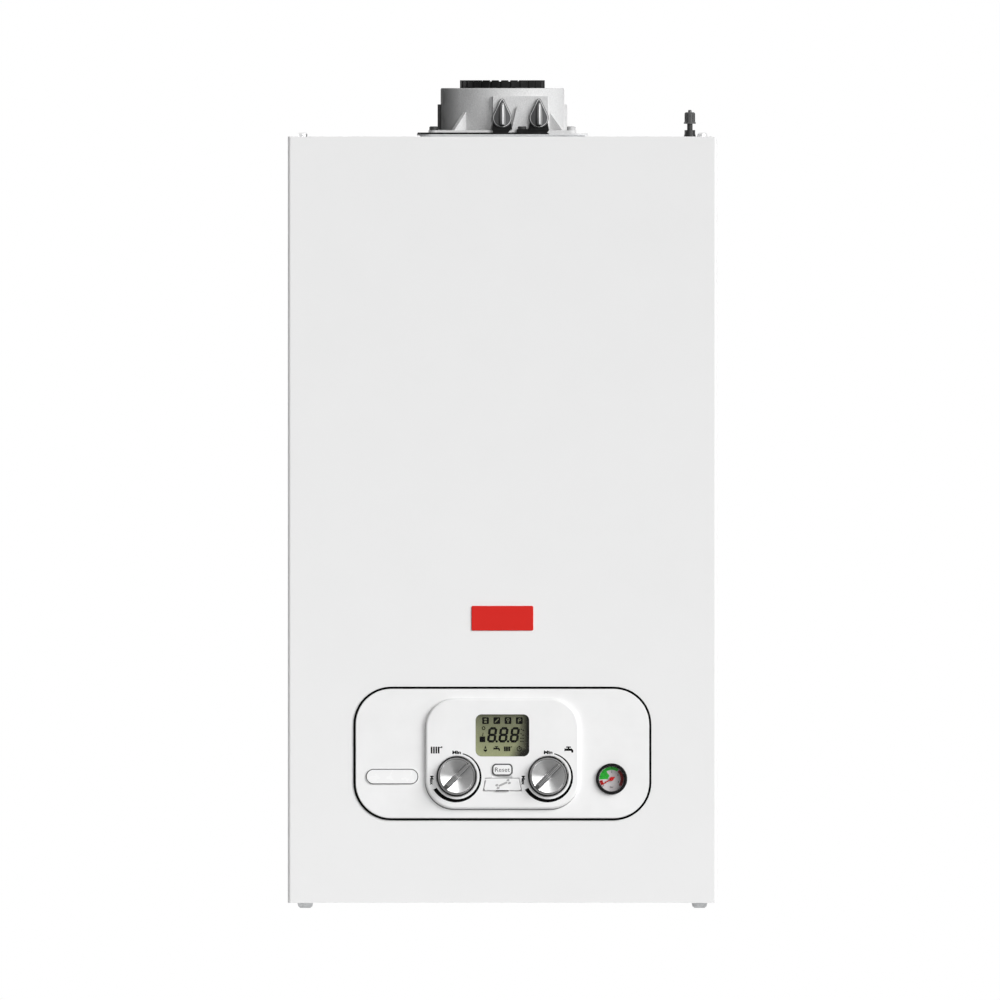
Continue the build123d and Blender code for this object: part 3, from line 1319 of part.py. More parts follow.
def make_display():
    """Clear lens in the window and the display module standing on the board behind it."""
    lens_back = MOULDING_FACE_Y + 2.4
    with BuildPart() as display_lens:
        with BuildSketch(front_plane(lens_back)):
            with Locations((0, DISPLAY_Z)):
                RectangleRounded(DISPLAY_W - 0.4, DISPLAY_H - 0.4, DISPLAY_R - 0.2)
        extrude(amount=1.4)
    display_lens.part.label = "display_lens"
    export_step(display_lens.part, "parts/display_lens.step")
    with BuildPart() as display_module:
        with BuildSketch(front_plane(BOARD_Y)):
            with Locations((0, DISPLAY_Z)):
                Rectangle(DISPLAY_W + 7, DISPLAY_H + 5)
        extrude(amount=BOARD_Y - (MOULDING_FACE_Y + MOULDING_PLATE))
        with BuildSketch(front_plane(BOARD_Y)):
            with Locations((0, DISPLAY_Z)):
                RectangleRounded(DISPLAY_W - 0.6, DISPLAY_H - 0.6, DISPLAY_R - 0.3)
        extrude(amount=BOARD_Y - lens_back)
    display_module.part.label = "display_module"
    export_step(display_module.part, "parts/display_module.step")


def make_circuit_board():
    """Control board with the two potentiometers, the reset switch, relays and a row of connectors."""
    with BuildPart() as circuit_board:
        with BuildSketch(front_plane(BOARD_Y + 1.6)):
            with Locations((BOARD_X, FASCIA_Z)):
                RectangleRounded(BOARD_W, BOARD_H, 3)
        extrude(amount=1.6)
        for size_x, size_z, deep, places in BOARD_BLOCKS:
            with BuildSketch(front_plane(BOARD_Y + 1.6)):
                with Locations(*places):
                    Rectangle(size_x, size_z)
            extrude(amount=-deep)
        with BuildSketch(front_plane(BOARD_Y)):
            with Locations((-KNOB_X, KNOB_Z), (KNOB_X, KNOB_Z)):
                RectangleRounded(17, 17, 2)
        extrude(amount=7)
        with BuildSketch(front_plane(BOARD_Y)):
            with Locations((0, RESET_Z)):
                Rectangle(7, 7)
        extrude(amount=3.8)
        with BuildSketch(front_plane(BOARD_Y)):
            with Locations((-KNOB_X, KNOB_Z), (KNOB_X, KNOB_Z)):
                Circle(SPINDLE_BORE_R)
        extrude(amount=8, mode=Mode.SUBTRACT)
    circuit_board.part.label = "circuit_board"
    export_step(circuit_board.part, "parts/circuit_board.step")


def make_knobs():
    """Two turning knobs: thin skirt, turned body with a dished face, diagonal grip ridge, spindle."""
    back = WELL_FLOOR_Y - 0.4
    marker_reach = MARKER_R * cos(radians(RIDGE_ANGLE))
    for name, x in (("heating_knob", -KNOB_X), ("water_knob", KNOB_X)):
        with BuildPart() as knob:
            with BuildSketch(Plane.XY.offset(KNOB_Z)):
                with BuildLine():
                    Polyline(*[(x + r, back - rise) for r, rise in
                               ((0, 0), (KNOB_SKIRT_R, 0), (KNOB_SKIRT_R, 2.4), (KNOB_R + 0.3, 3.0),
                                (KNOB_R, 8.6), (KNOB_R - 0.9, 9.5), (KNOB_R - 2.0, 9.5), (3, 7.9), (0, 7.9))],
                             close=True)
                make_face()
            revolve(axis=Axis((x, 0, KNOB_Z), (0, 1, 0)))
            with BuildSketch(front_plane(back - 7.0)):
                with Locations((x, KNOB_Z)):
                    SlotOverall(2 * KNOB_R - 1.6, RIDGE_W, rotation=RIDGE_ANGLE)
            extrude(amount=8.4, taper=RIDGE_TAPER)
            with BuildSketch(front_plane(back - 7.0)):
                with Locations((x - marker_reach, KNOB_Z - marker_reach)):
                    Circle(1.7)
            extrude(amount=8.4)
            with BuildSketch(front_plane(back)):
                with Locations((x, KNOB_Z)):
                    Circle(SPINDLE_R)
            extrude(amount=-(BOARD_Y - back - 0.4))
        knob.part.label = name
        export_step(knob.part, f"parts/{name}.step")


def make_reset_button():
    """Push button: bulged cap, retaining flange behind the moulding and a stem over the switch."""
    front = MOULDING_FACE_Y - 0.9
    plate_back = MOULDING_FACE_Y + MOULDING_PLATE
    with BuildPart() as reset_button:
        with BuildSketch(front_plane(plate_back + 0.3)):
            with Locations((0, RESET_Z)):
                RectangleRounded(RESET_W - 2 * BUTTON_GAP, RESET_H - 2 * BUTTON_GAP, 3.45)
        extrude(amount=plate_back + 0.3 - front)
        chamfer(reset_button.faces().sort_by(Axis.Y)[0].edges(), 0.5)
        with BuildSketch(front_plane(plate_back + 0.3)):
            with Locations((0, RESET_Z)):
                Rectangle(RESET_W + 2, RESET_H - 2)
        extrude(amount=-1)
        with BuildSketch(front_plane(plate_back + 0.3)):
            with Locations((0, RESET_Z)):
                Circle(2.5)
        extrude(amount=-(BOARD_Y - 3.8 - 2.0 - plate_back - 0.3))
    reset_button.part.label = "reset_button"
    export_step(reset_button.part, "parts/reset_button.step")


def make_service_flap():
    """Hinged flap: trapezoid leaf, finger lip at its foot and two pins at the top."""
    with BuildPart() as service_flap:
        extrude(flap_outline(-0.05, 2.0), amount=-1.6)
        fillet(service_flap.faces().sort_by(Axis.Y)[0].edges().sort_by(Axis.Z)[-1], 1.0)
        with BuildSketch(Plane.YZ.offset(-FLAP_TOP_W / 2 + 0.1)):
            with Locations((HINGE_Y, HINGE_Z)):
                Circle(1.15)
        extrude(amount=FLAP_TOP_W - 0.2)
        with BuildSketch(Plane.YZ.offset(-FLAP_TOP_W / 2 - 1.4)):
            with Locations((HINGE_Y, HINGE_Z)):
                Circle(HINGE_PIN_R)
        extrude(amount=FLAP_TOP_W + 2.8)
        with BuildSketch(front_plane(MOULDING_FACE_Y)):
            with Locations((0, FLAP_Z - FLAP_H / 2)):
                SlotOverall(12.2, 1.6)
        extrude(amount=1.3)
    service_flap.part.label = "service_flap"
    export_step(service_flap.part, "parts/service_flap.step")


def make_gauge():
    """Pressure gauge: cup with bezel, dial, needle on its pivot and a clear lens."""
    centre = (GAUGE_X, GAUGE_Z)
    bezel_front = FASCIA_FACE_Y - 3.2
    with BuildPart() as gauge_case:
        with BuildSketch(front_plane(FASCIA_FACE_Y)):
            with Locations(centre):
                Circle(GAUGE_BEZEL_R)
        extrude(amount=3.2)
        chamfer(gauge_case.faces().sort_by(Axis.Y)[0].edges(), 0.7)
        with BuildSketch(front_plane(FASCIA_FACE_Y)):
            with Locations(centre):
                Circle(GAUGE_BEZEL_R - 0.4)
        extrude(amount=-24)
        with BuildSketch(front_plane(bezel_front - 1)):
            with Locations(centre):
                Circle(GAUGE_WINDOW_R)
        extrude(amount=-(DIAL_Y + 0.8 - bezel_front + 1), mode=Mode.SUBTRACT)
        with BuildSketch(front_plane(DIAL_Y)):
            with Locations(centre):
                Circle(POINTER_PIVOT_R + 0.05)
        extrude(amount=-4, mode=Mode.SUBTRACT)
        with BuildSketch(front_plane(FASCIA_FACE_Y + 24)):
            with Locations(centre):
                Circle(4)
        extrude(amount=-8)
    gauge_case.part.label = "gauge_case"
    export_step(gauge_case.part, "parts/gauge_case.step")
    with BuildPart() as gauge_dial:
        with BuildSketch(front_plane(DIAL_Y + 0.8)):
            with Locations(centre):
                Circle(GAUGE_WINDOW_R)
                Circle(POINTER_PIVOT_R + 0.05, mode=Mode.SUBTRACT)
        extrude(amount=0.8)
    gauge_dial.part.label = "gauge_dial"
    export_step(gauge_dial.part, "parts/gauge_dial.step")
    turn = radians(POINTER_ANGLE)
    needle = ((-3.2, -0.6), (-3.2, 0.6), (8.2, 0.35), (9.0, 0.9), (10.6, 0), (9.0, -0.9), (8.2, -0.35))
    with BuildPart() as gauge_pointer:
        with BuildSketch(front_plane(DIAL_Y - 1.1)):
            with Locations(centre):
                Circle(1.9)
            with BuildLine():
                Polyline(*[(GAUGE_X + r * cos(turn) - side * sin(turn),
                            GAUGE_Z + r * sin(turn) + side * cos(turn)) for r, side in needle], close=True)
            make_face()
        extrude(amount=0.6)
        with BuildSketch(front_plane(DIAL_Y - 1.1)):
            with Locations(centre):
                Circle(POINTER_PIVOT_R)
        extrude(amount=-4)
    gauge_pointer.part.label = "gauge_pointer"
    export_step(gauge_pointer.part, "parts/gauge_pointer.step")
    with BuildPart() as gauge_lens:
        with BuildSketch(front_plane(DIAL_Y - 3.4)):
            with Locations(centre):
                Circle(GAUGE_WINDOW_R)
        extrude(amount=0.9)
    gauge_lens.part.label = "gauge_lens"
    export_step(gauge_lens.part, "parts/gauge_lens.step")


def make_pill_badge():
    """Blank stadium plate on the left of the fascia."""
    with BuildPart() as pill_badge:
        with BuildSketch(front_plane(FASCIA_FACE_Y)):
            with Locations((PILL_X, PILL_Z)):
                SlotOverall(PILL_W, PILL_H)
        extrude(amount=0.9)
        chamfer(pill_badge.faces().sort_by(Axis.Y)[0].edges(), 0.3)
    pill_badge.part.label = "pill_badge"
    export_step(pill_badge.part, "parts/pill_badge.step")


make_wall_bracket()
make_rear_frame()
make_top_plate()
make_bottom_tray()
make_outer_case()
make_badge_plate()
make_screws()
make_flue_adaptor()
make_flue_gasket()
make_flue_seal()
make_flue_screws()
make_sampling_caps()
make_charging_valve()
make_expansion_vessel()
make_air_box()
make_air_box_door()
make_heat_exchanger()
make_burner_door()
make_burner()
make_electrodes()
make_fan()
make_mixture_train()
make_flue_duct()
make_pump()
make_return_block()
make_flow_block()
make_plate_exchanger()
make_small_water_parts()
make_pipes()
make_control_box()
make_fascia()
make_fascia_moulding()
make_display()
make_circuit_board()
make_knobs()
make_reset_button()
make_service_flap()
make_gauge()
make_pill_badge()
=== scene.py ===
"""Looks, prints, light and camera for the wall-hung combi boiler.

Metres, +X to the right seen from the front, -Y out of the front, +Z up.
Lengths that belong to the prints are written in millimetres and scaled by MM.
"""

import json
from math import asin, cos, degrees, pi, radians, sin

import bmesh
import bpy
from mathutils import Matrix, Vector


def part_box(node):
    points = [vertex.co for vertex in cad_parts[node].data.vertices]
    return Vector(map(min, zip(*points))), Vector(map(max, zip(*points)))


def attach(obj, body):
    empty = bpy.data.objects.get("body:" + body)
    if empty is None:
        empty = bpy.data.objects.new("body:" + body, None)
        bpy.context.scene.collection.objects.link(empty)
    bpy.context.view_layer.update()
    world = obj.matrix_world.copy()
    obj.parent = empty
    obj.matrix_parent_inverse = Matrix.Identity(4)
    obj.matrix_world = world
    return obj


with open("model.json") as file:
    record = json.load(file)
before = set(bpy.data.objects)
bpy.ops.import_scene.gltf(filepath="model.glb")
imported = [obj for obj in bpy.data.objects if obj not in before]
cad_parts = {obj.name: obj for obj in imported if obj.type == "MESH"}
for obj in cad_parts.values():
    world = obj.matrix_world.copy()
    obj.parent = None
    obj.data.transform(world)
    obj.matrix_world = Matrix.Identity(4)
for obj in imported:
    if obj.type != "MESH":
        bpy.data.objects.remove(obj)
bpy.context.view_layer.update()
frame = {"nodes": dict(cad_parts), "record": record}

MM = 0.001
INK = 0.05  # thickness of a printed mark, in millimetres
NODES = frame["nodes"]


def front_of(node):
    """Y of a node's front face, in millimetres."""
    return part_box(node)[0].y / MM


def middle_of(node):
    """X and Z of the middle of a node, in millimetres."""
    low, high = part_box(node)
    return (low.x + high.x) / 2 / MM, (low.z + high.z) / 2 / MM


def width_and_height(node):
    """Extent of a node along X and Z, in millimetres."""
    low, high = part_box(node)
    return (high.x - low.x) / MM, (high.z - low.z) / MM


# ---------------------------------------------------------------- places read from the frame
FASCIA = middle_of("fascia")
FASCIA_FRONT = front_of("fascia")
MOULDING_FRONT = front_of("fascia_moulding")
DISPLAY_FRONT = front_of("display_module")
DISPLAY = middle_of("display_lens")
KNOBS = {name: middle_of(name) for name in ("heating_knob", "water_knob")}
RESET = middle_of("reset_button")
GAUGE = middle_of("gauge_case")
PILL = middle_of("pill_badge")
DIAL_FRONT = front_of("gauge_dial")
FLAP_FRONT = MOULDING_FRONT


# ---------------------------------------------------------------- node helpers
def look(name, colour, roughness, metallic=0.0, gloss=0.5):
    """A new material with a principled shader of this plain colour."""
    material = bpy.data.materials.new(name)
    material.use_nodes = True
    shader = shader_of(material)
    shader.inputs["Base Color"].default_value = (*colour, 1)
    shader.inputs["Roughness"].default_value = roughness
    shader.inputs["Metallic"].default_value = metallic
    shader.inputs["Specular IOR Level"].default_value = gloss
    return material


def shader_of(material):
    return material.node_tree.nodes["Principled BSDF"]


def add(material, kind, **sockets):
    """One shader node, with the named input sockets set."""
    node = material.node_tree.nodes.new("ShaderNode" + kind)
    for name, value in sockets.items():
        node.inputs[name.replace("_", " ")].default_value = value
    return node


def join(material, output, socket):
    material.node_tree.links.new(output, socket)


def coordinates(material, stretch=(1, 1, 1)):
    """Object coordinates in metres, multiplied by stretch."""
    source = add(material, "TexCoord")
    mapping = add(material, "Mapping", Scale=stretch)
    join(material, source.outputs["Object"], mapping.inputs["Vector"])
    return mapping.outputs["Vector"]


def noise(material, size, detail=3.0, stretch=(1, 1, 1)):
    """Cloudy pattern whose blotches are about size millimetres across."""
    node = add(material, "TexNoise", Scale=1 / (size * MM), Detail=detail)
    join(material, coordinates(material, stretch), node.inputs["Vector"])
    return node.outputs["Fac"]


def cells(material, size):
    """Cell pattern whose cells are about size millimetres across."""
    node = add(material, "TexVoronoi", Scale=1 / (size * MM))
    join(material, coordinates(material), node.inputs["Vector"])
    return node


def vary_colour(material, pattern, low, high, start=0.3, end=0.7):
    """Base colour that runs from low to high with the pattern."""
    ramp = add(material, "ValToRGB")
    for stop, place, colour in zip(ramp.color_ramp.elements, (start, end), (low, high)):
        stop.position = place
        stop.color = (*colour, 1)
    join(material, pattern, ramp.inputs["Fac"])
    join(material, ramp.outputs["Color"], shader_of(material).inputs["Base Color"])


def vary(material, pattern, socket, low, high, start=0.3, end=0.7):
    """A number of the shader that runs from low to high with the pattern."""
    ramp = add(material, "MapRange")
    for name, value in zip(("From Min", "From Max", "To Min", "To Max"), (start, end, low, high)):
        ramp.inputs[name].default_value = value
    join(material, pattern, ramp.inputs["Value"])
    join(material, ramp.outputs["Result"], shader_of(material).inputs[socket])


def fade(material, axis, start, end, low, high):
    """Number that runs from low to high between two places along an axis, in millimetres."""
    place = add(material, "SeparateXYZ")
    join(material, coordinates(material), place.inputs["Vector"])
    ramp = add(material, "MapRange", From_Min=start * MM, From_Max=end * MM, To_Min=low, To_Max=high)
    join(material, place.outputs[axis], ramp.inputs["Value"])
    return ramp.outputs["Result"]


def largest(material, first, second):
    """The larger of two numbers."""
    node = add(material, "Math")
    node.operation = "MAXIMUM"
    join(material, first, node.inputs[0])
    join(material, second, node.inputs[1])
    return node.outputs["Value"]


def shade(material, factor):
    """Paint light or shade into the base colour: multiply it by a factor that varies from place to place."""
    base = shader_of(material).inputs["Base Color"]
    dimmed = add(material, "VectorMath")
    dimmed.operation = "SCALE"
    join(material, base.links[0].from_socket, dimmed.inputs[0])
    join(material, factor, dimmed.inputs["Scale"])
    join(material, dimmed.outputs["Vector"], base)


def bump(material, pattern, height, strength=1.0):
    """Relief of this height in millimetres, laid over any relief already there."""
    node = add(material, "Bump", Strength=strength, Distance=height * MM)
    join(material, pattern, node.inputs["Height"])
    normal = shader_of(material).inputs["Normal"]
    if normal.is_linked:
        join(material, normal.links[0].from_socket, node.inputs["Normal"])
    join(material, node.outputs["Normal"], normal)


def grey(level):
    """Colour with the same level in each channel."""
    return (level, level, level)


def tinted(colour, factor):
    """The same colour, darker or lighter."""
    return tuple(min(1.0, channel * factor) for channel in colour)


# ---------------------------------------------------------------- families of materials
def coated_steel(name, colour, roughness=0.36, peel=0.012, gloss=0.5):
    """Stoved paint: faint clouding, orange peel and a thin clear coat."""
    material = look(name, colour, roughness, gloss=gloss)
    clouds = noise(material, 55, detail=2)
    vary_colour(material, clouds, tinted(colour, 0.994), tinted(colour, 1.004))
    vary(material, noise(material, 18), "Roughness", roughness - 0.03, roughness + 0.04)
    bump(material, noise(material, 1.3, detail=1), peel, 0.5)
    bump(material, noise(material, 0.35, detail=1), peel / 3, 0.4)
    shader = shader_of(material)
    shader.inputs["Coat Weight"].default_value = 0.3 * gloss
    shader.inputs["Coat Roughness"].default_value = 0.2
    return material


def moulded(name, colour, roughness=0.45, grain=0.5, depth=0.012, gloss=0.5):
    """Moulded plastic: spark-eroded grain, faint flow clouds and handling sheen."""
    material = look(name, colour, roughness, gloss=gloss)
    vary_colour(material, noise(material, 30), tinted(colour, 0.97), tinted(colour, 1.02))
    vary(material, noise(material, 9), "Roughness", roughness - 0.05, roughness + 0.05)
    bump(material, noise(material, grain, detail=2), depth, 0.6)
    return material


def rubber(name, colour, roughness=0.7):
    """Matt rubber with a dusty bloom on it."""
    material = look(name, colour, roughness, gloss=0.1)
    vary_colour(material, noise(material, 6, detail=5), colour, tinted(colour, 2.2), 0.45, 0.8)
    vary(material, noise(material, 2.5), "Roughness", roughness - 0.12, roughness + 0.1)
    bump(material, noise(material, 0.6, detail=4), 0.03, 0.6)
    return material


def cast_metal(name, colour, roughness=0.45, grain=1.1, metallic=0.9, gloss=0.5):
    """Die or sand casting: fine pebbled skin, darker in the pits."""
    material = look(name, colour, roughness, metallic, gloss)
    pits = noise(material, grain, detail=5)
    vary_colour(material, pits, tinted(colour, 0.82), tinted(colour, 1.06))
    vary(material, noise(material, 12), "Roughness", roughness - 0.08, roughness + 0.1)
    bump(material, pits, 0.06, 0.5)
    return material


def drawn_metal(name, colour, roughness=0.25, stretch=(1, 1, 0.04), tarnish=None):
    """Bright metal with fine drawn or brushed lines and some tarnish."""
    material = look(name, colour, roughness, 1.0)
    lines = noise(material, 0.4, detail=4, stretch=stretch)
    vary_colour(material, noise(material, 22, detail=6), tarnish or tinted(colour, 0.75), colour, 0.35, 0.6)
    vary(material, lines, "Roughness", roughness - 0.06, roughness + 0.12)
    bump(material, lines, 0.01, 0.5)
    return material


def spangled_zinc(name, colour):
    """Hot-dip galvanised sheet: crystals of slightly different grey and gloss."""
    material = look(name, colour, 0.6, 0.3, gloss=0.2)
    crystals = cells(material, 7)
    tone = add(material, "SeparateColor")
    join(material, crystals.outputs["Color"], tone.inputs["Color"])
    vary_colour(material, tone.outputs["Red"], tinted(colour, 0.88), tinted(colour, 1.08), 0, 1)
    vary(material, tone.outputs["Green"], "Roughness", 0.58, 0.74, 0, 1)
    bump(material, noise(material, 0.8, detail=3), 0.01, 0.5)
    return material


def spun_metal(name, colour):
    """Turned knob: circular lathe lines about its own axis, so highlights fan out."""
    material = look(name, colour, 0.3, 1.0)
    vary_colour(material, noise(material, 6), tinted(colour, 0.9), colour)
    vary(material, noise(material, 0.5, detail=3), "Roughness", 0.27, 0.34)
    bump(material, noise(material, 0.25, detail=2), 0.003, 0.4)
    direction = add(material, "Tangent")
    direction.direction_type = "RADIAL"
    direction.axis = "Y"
    shader = shader_of(material)
    join(material, direction.outputs["Tangent"], shader.inputs["Tangent"])
    shader.inputs["Anisotropic"].default_value = 0.9
    return material


def clear_lens(name):
    """Thin clear window, faintly smeared."""
    material = look(name, grey(0.5), 0.08, gloss=0.03)
    shader_of(material).inputs["Alpha"].default_value = 0.01
    vary(material, noise(material, 14, detail=4), "Roughness", 0.05, 0.16)
    return material


# painted shade on the display: darker towards its top, its right and its lower right corner
DISPLAY_REACH_X, DISPLAY_REACH_Z = 23, 20  # from the middle of the display to its edges
DISPLAY_TOP_DARKNESS, DISPLAY_RIGHT_DARKNESS = 0.55, 0.95
DISPLAY_RIGHT_START = 9
DISPLAY_CORNER_START, DISPLAY_CORNER_END = 18, 6  # distances from the lower right corner
DISPLAY_GRAIN = 0.14
DISPLAY_MIDDLE_STOP = 0.62


def display_glass(name, pale, middle, dark):
    """Reflective display with painted shade: pale at its foot, duller towards its top, nearly black at its
    right.
    """
    material = look(name, pale, 0.3, gloss=0.1)
    x, z = DISPLAY
    right, foot, top = x + DISPLAY_REACH_X, z - DISPLAY_REACH_Z, z + DISPLAY_REACH_Z
    corner = add(material, "VectorMath")
    corner.operation = "DISTANCE"
    corner.inputs[1].default_value = Vector((right, DISPLAY_FRONT, foot)) * MM
    join(material, coordinates(material), corner.inputs[0])
    ramp = add(material, "MapRange", From_Min=DISPLAY_CORNER_START * MM, From_Max=DISPLAY_CORNER_END * MM)
    join(material, corner.outputs["Value"], ramp.inputs["Value"])
    upwards = fade(material, "Z", foot, top, 0, DISPLAY_TOP_DARKNESS)
    sideways = fade(material, "X", x + DISPLAY_RIGHT_START, right, 0, DISPLAY_RIGHT_DARKNESS)
    display_shade = largest(material, largest(material, upwards, sideways), ramp.outputs["Result"])
    grain = add(material, "Math")
    grain.operation = "MULTIPLY_ADD"
    grain.inputs[1].default_value = DISPLAY_GRAIN
    join(material, noise(material, 4), grain.inputs[0])
    join(material, display_shade, grain.inputs[2])
    mean_grain = DISPLAY_GRAIN / 2
    vary_colour(material, grain.outputs["Value"], pale, dark, mean_grain, 1 + mean_grain)
    stops = material.node_tree.nodes["Color Ramp"].color_ramp.elements
    stops.new(DISPLAY_MIDDLE_STOP).color = (*middle, 1)
    bump(material, noise(material, 0.3), 0.004, 0.3)
    return material


# ---------------------------------------------------------------- one look for each material slot
LOOKS = {
    "case_white": coated_steel("case_white", grey(0.79)),
    "fascia_white": moulded("fascia_white", grey(0.815), 0.42, grain=0.7, depth=0.01),
    "button_white": moulded("button_white", grey(0.82), 0.4, grain=0.5, depth=0.006),
    "pill_white": moulded("pill_white", grey(0.86), 0.25, grain=2.0, depth=0.004),
    "plate_red": coated_steel("plate_red", (0.62, 0.014, 0.009), 0.42, peel=0.006, gloss=0.15),
    "knob_silver": spun_metal("knob_silver", grey(0.30)),
    "lens_clear": clear_lens("lens_clear"),
    "display_olive": display_glass(
        "display_olive", pale=(0.32, 0.34, 0.19), middle=(0.12, 0.125, 0.08), dark=(0.012, 0.012, 0.008)),
    "black_plastic": moulded("black_plastic", grey(0.004), 0.45, grain=0.6, gloss=0.1),
    "dial_print": moulded("dial_print", (0.66, 0.62, 0.63), 0.5, grain=0.8, depth=0.004, gloss=0.1),
    "galvanised": spangled_zinc("galvanised", (0.52, 0.54, 0.56)),
    "stainless": drawn_metal("stainless", (0.60, 0.60, 0.59), 0.28),
    "vessel_grey": coated_steel("vessel_grey", (0.33, 0.34, 0.36), 0.4, peel=0.03),
    "cast_alloy": cast_metal("cast_alloy", (0.52, 0.53, 0.54)),
    "adaptor_grey": cast_metal("adaptor_grey", grey(0.66), 0.55, grain=0.9, metallic=0.0, gloss=0.1),
    "cap_grey": moulded("cap_grey", (0.085, 0.086, 0.088), 0.4, gloss=0.4),
    "seal_black": rubber("seal_black", grey(0.007), 0.55),
    "gasket_grey": rubber("gasket_grey", grey(0.07)),
    "brass": drawn_metal("brass", (0.72, 0.52, 0.22), 0.26, stretch=(1, 1, 8)),
    "copper": drawn_metal(
        "copper", (0.74, 0.36, 0.22), 0.26, stretch=(0.2, 0.2, 0.2), tarnish=(0.42, 0.19, 0.11)),
    "screw_zinc": drawn_metal("screw_zinc", (0.66, 0.67, 0.68), 0.26, stretch=(1, 1, 6)),
    "screw_black": cast_metal("screw_black", grey(0.03), 0.4, metallic=0.4),
    "grey_composite": moulded("grey_composite", (0.13, 0.14, 0.15), 0.5, grain=0.9, depth=0.03),
    "board_green": moulded("board_green", (0.03, 0.16, 0.07), 0.35, grain=1.2, depth=0.02),
    "knob_red": moulded("knob_red", (0.55, 0.02, 0.015), 0.4),
    "trap_white": moulded("trap_white", (0.66, 0.66, 0.63), 0.42, grain=1.0),
    "ceramic": moulded("ceramic", (0.78, 0.76, 0.70), 0.2, grain=1.5, depth=0.008),
    "pointer_red": moulded("pointer_red", (0.50, 0.004, 0.004), 0.45, depth=0.004, gloss=0.06),
}
INK_BLACK = moulded("ink_black", grey(0.002), 0.5, grain=0.3, depth=0.004, gloss=0.02)
INK_GREY = moulded("ink_grey", grey(0.07), 0.5, grain=0.3, depth=0.004, gloss=0.1)
INK_PALE = moulded("ink_pale", grey(0.36), 0.5, grain=0.3, depth=0.004)
INK_GREEN = moulded("ink_green", (0.02, 0.40, 0.03), 0.5, grain=0.3, depth=0.004, gloss=0.06)
INK_RED = moulded("ink_red", (0.46, 0.004, 0.006), 0.5, grain=0.3, depth=0.004, gloss=0.06)
# painted shadow under the raised moulding
SHADOW_GREY = moulded("shadow_grey", grey(0.27), 0.6, grain=0.6, depth=0.004, gloss=0.1)
# painted highlights on the caps' rims and crests, and painted light on the lit flanks of their fins
CAP_RIM_HIGHLIGHT = moulded("cap_rim", grey(0.66), 0.3, grain=0.6, depth=0.004)
CAP_LIT = moulded("cap_lit", grey(0.34), 0.35, grain=0.6, depth=0.004)
CAP_CREST_HIGHLIGHT = moulded("cap_crest", grey(0.92), 0.3, grain=0.6, depth=0.004)
CAP_FLANK = moulded("cap_flank", grey(0.08), 0.4, grain=0.6, depth=0.004, gloss=0.3)

# painted shade: the dial and its red print darken towards the right, under the rim of the gauge
DIAL_LIT, DIAL_DIM, DIAL_SHARE = GAUGE[0] - 5, GAUGE[0] + 9, 0.36
RED_LIT, RED_DIM, RED_SHARE = GAUGE[0] - 8, GAUGE[0] + 8, 0.3
dial = LOOKS["dial_print"]
shade(dial, fade(dial, "X", DIAL_LIT, DIAL_DIM, 1.0, DIAL_SHARE))
shade(INK_RED, fade(INK_RED, "X", RED_LIT, RED_DIM, 1.0, RED_SHARE))

# painted shade: the left side of the flue tower, above its stepped flange, is darkened
TOWER_LEFT, TOWER_LIT, TOWER_SHARE = -54, -39, 0.13
STEP_SHADE_TOP, STEP_SHADE_FOOT = 66.6, 66.2
adaptor = LOOKS["adaptor_grey"]
tower_shade = fade(adaptor, "X", TOWER_LEFT, TOWER_LIT, TOWER_SHARE, 1.0)
step_and_flange = fade(adaptor, "Z", STEP_SHADE_TOP, STEP_SHADE_FOOT, 0, 1.0)
shade(adaptor, largest(adaptor, tower_shade, step_and_flange))

# painted light and shade: the screws at the left and in the middle are dark, the right-hand pair is painted
# pale as if lit
SCREWS_DARK, SCREWS_PALE, LIT_TIMES = 30, 40, 18.0
lit_and_shaded_screws = cast_metal("lit_and_shaded_screws", grey(0.03), 0.4, metallic=0.0, gloss=0.3)
shade(lit_and_shaded_screws, fade(lit_and_shaded_screws, "X", SCREWS_DARK, SCREWS_PALE, 1.0, LIT_TIMES))

# nodes whose look differs from the others with the same slot
NODE_LOOKS = {
    "flue_screws": lit_and_shaded_screws,
    "flue_gasket": moulded("pale_foam", grey(0.85), 0.7, depth=0.03, gloss=0.1),
    "valve_stem": drawn_metal("dark_nickel", grey(0.045), 0.38, stretch=(1, 1, 6)),
    "valve_cap": moulded("dust_cap", grey(0.06), 0.38, gloss=0.5),
    "pan_screws": drawn_metal("bright_zinc", grey(0.8), 0.3),
}

for part in frame["record"]["subparts"]:
    solid = NODES[part["node"]]
    solid.data.materials.clear()
    solid.data.materials.append(NODE_LOOKS.get(part["node"], LOOKS[part["material_slot"]]))


# ---------------------------------------------------------------- flat outlines, in millimetres of X and Z
def clockwise(angle, radius, centre=(0, 0)):
    """Point at this angle in degrees, clockwise from the top."""
    turn = radians(angle)
    return centre[0] + radius * sin(turn), centre[1] + radius * cos(turn)


def circle(centre, radius, steps=40):
    """Circle as a closed outline."""
    return [clockwise(360 * step / steps, radius, centre) for step in range(steps)]


def rectangle(centre, width, height):
    """Rectangle round its centre."""
    x, z = centre
    return [(x + i * width / 2, z + j * height / 2) for i, j in ((-1, -1), (1, -1), (1, 1), (-1, 1))]


def rounded(centre, width, height, radius, steps=7):
    """Rectangle with quarter-round corners."""
    x, z = centre
    corners = ((1, 1, 0), (1, -1, 90), (-1, -1, 180), (-1, 1, 270))
    points = []
    for i, j, start in corners:
        middle = (x + i * (width / 2 - radius), z + j * (height / 2 - radius))
        points += [clockwise(start + 90 * step / steps, radius, middle) for step in range(steps + 1)]
    return points


def bar(start, end, width):
    """Straight stroke with square ends."""
    (x0, z0), (x1, z1) = start, end
    along = Vector((x1 - x0, z1 - z0)).normalized()
    side = Vector((-along.y, along.x)) * width / 2
    back = [(x0 + side.x, z0 + side.y), (x0 - side.x, z0 - side.y)]
    front = [(x1 - side.x, z1 - side.y), (x1 + side.x, z1 + side.y)]
    return back + front


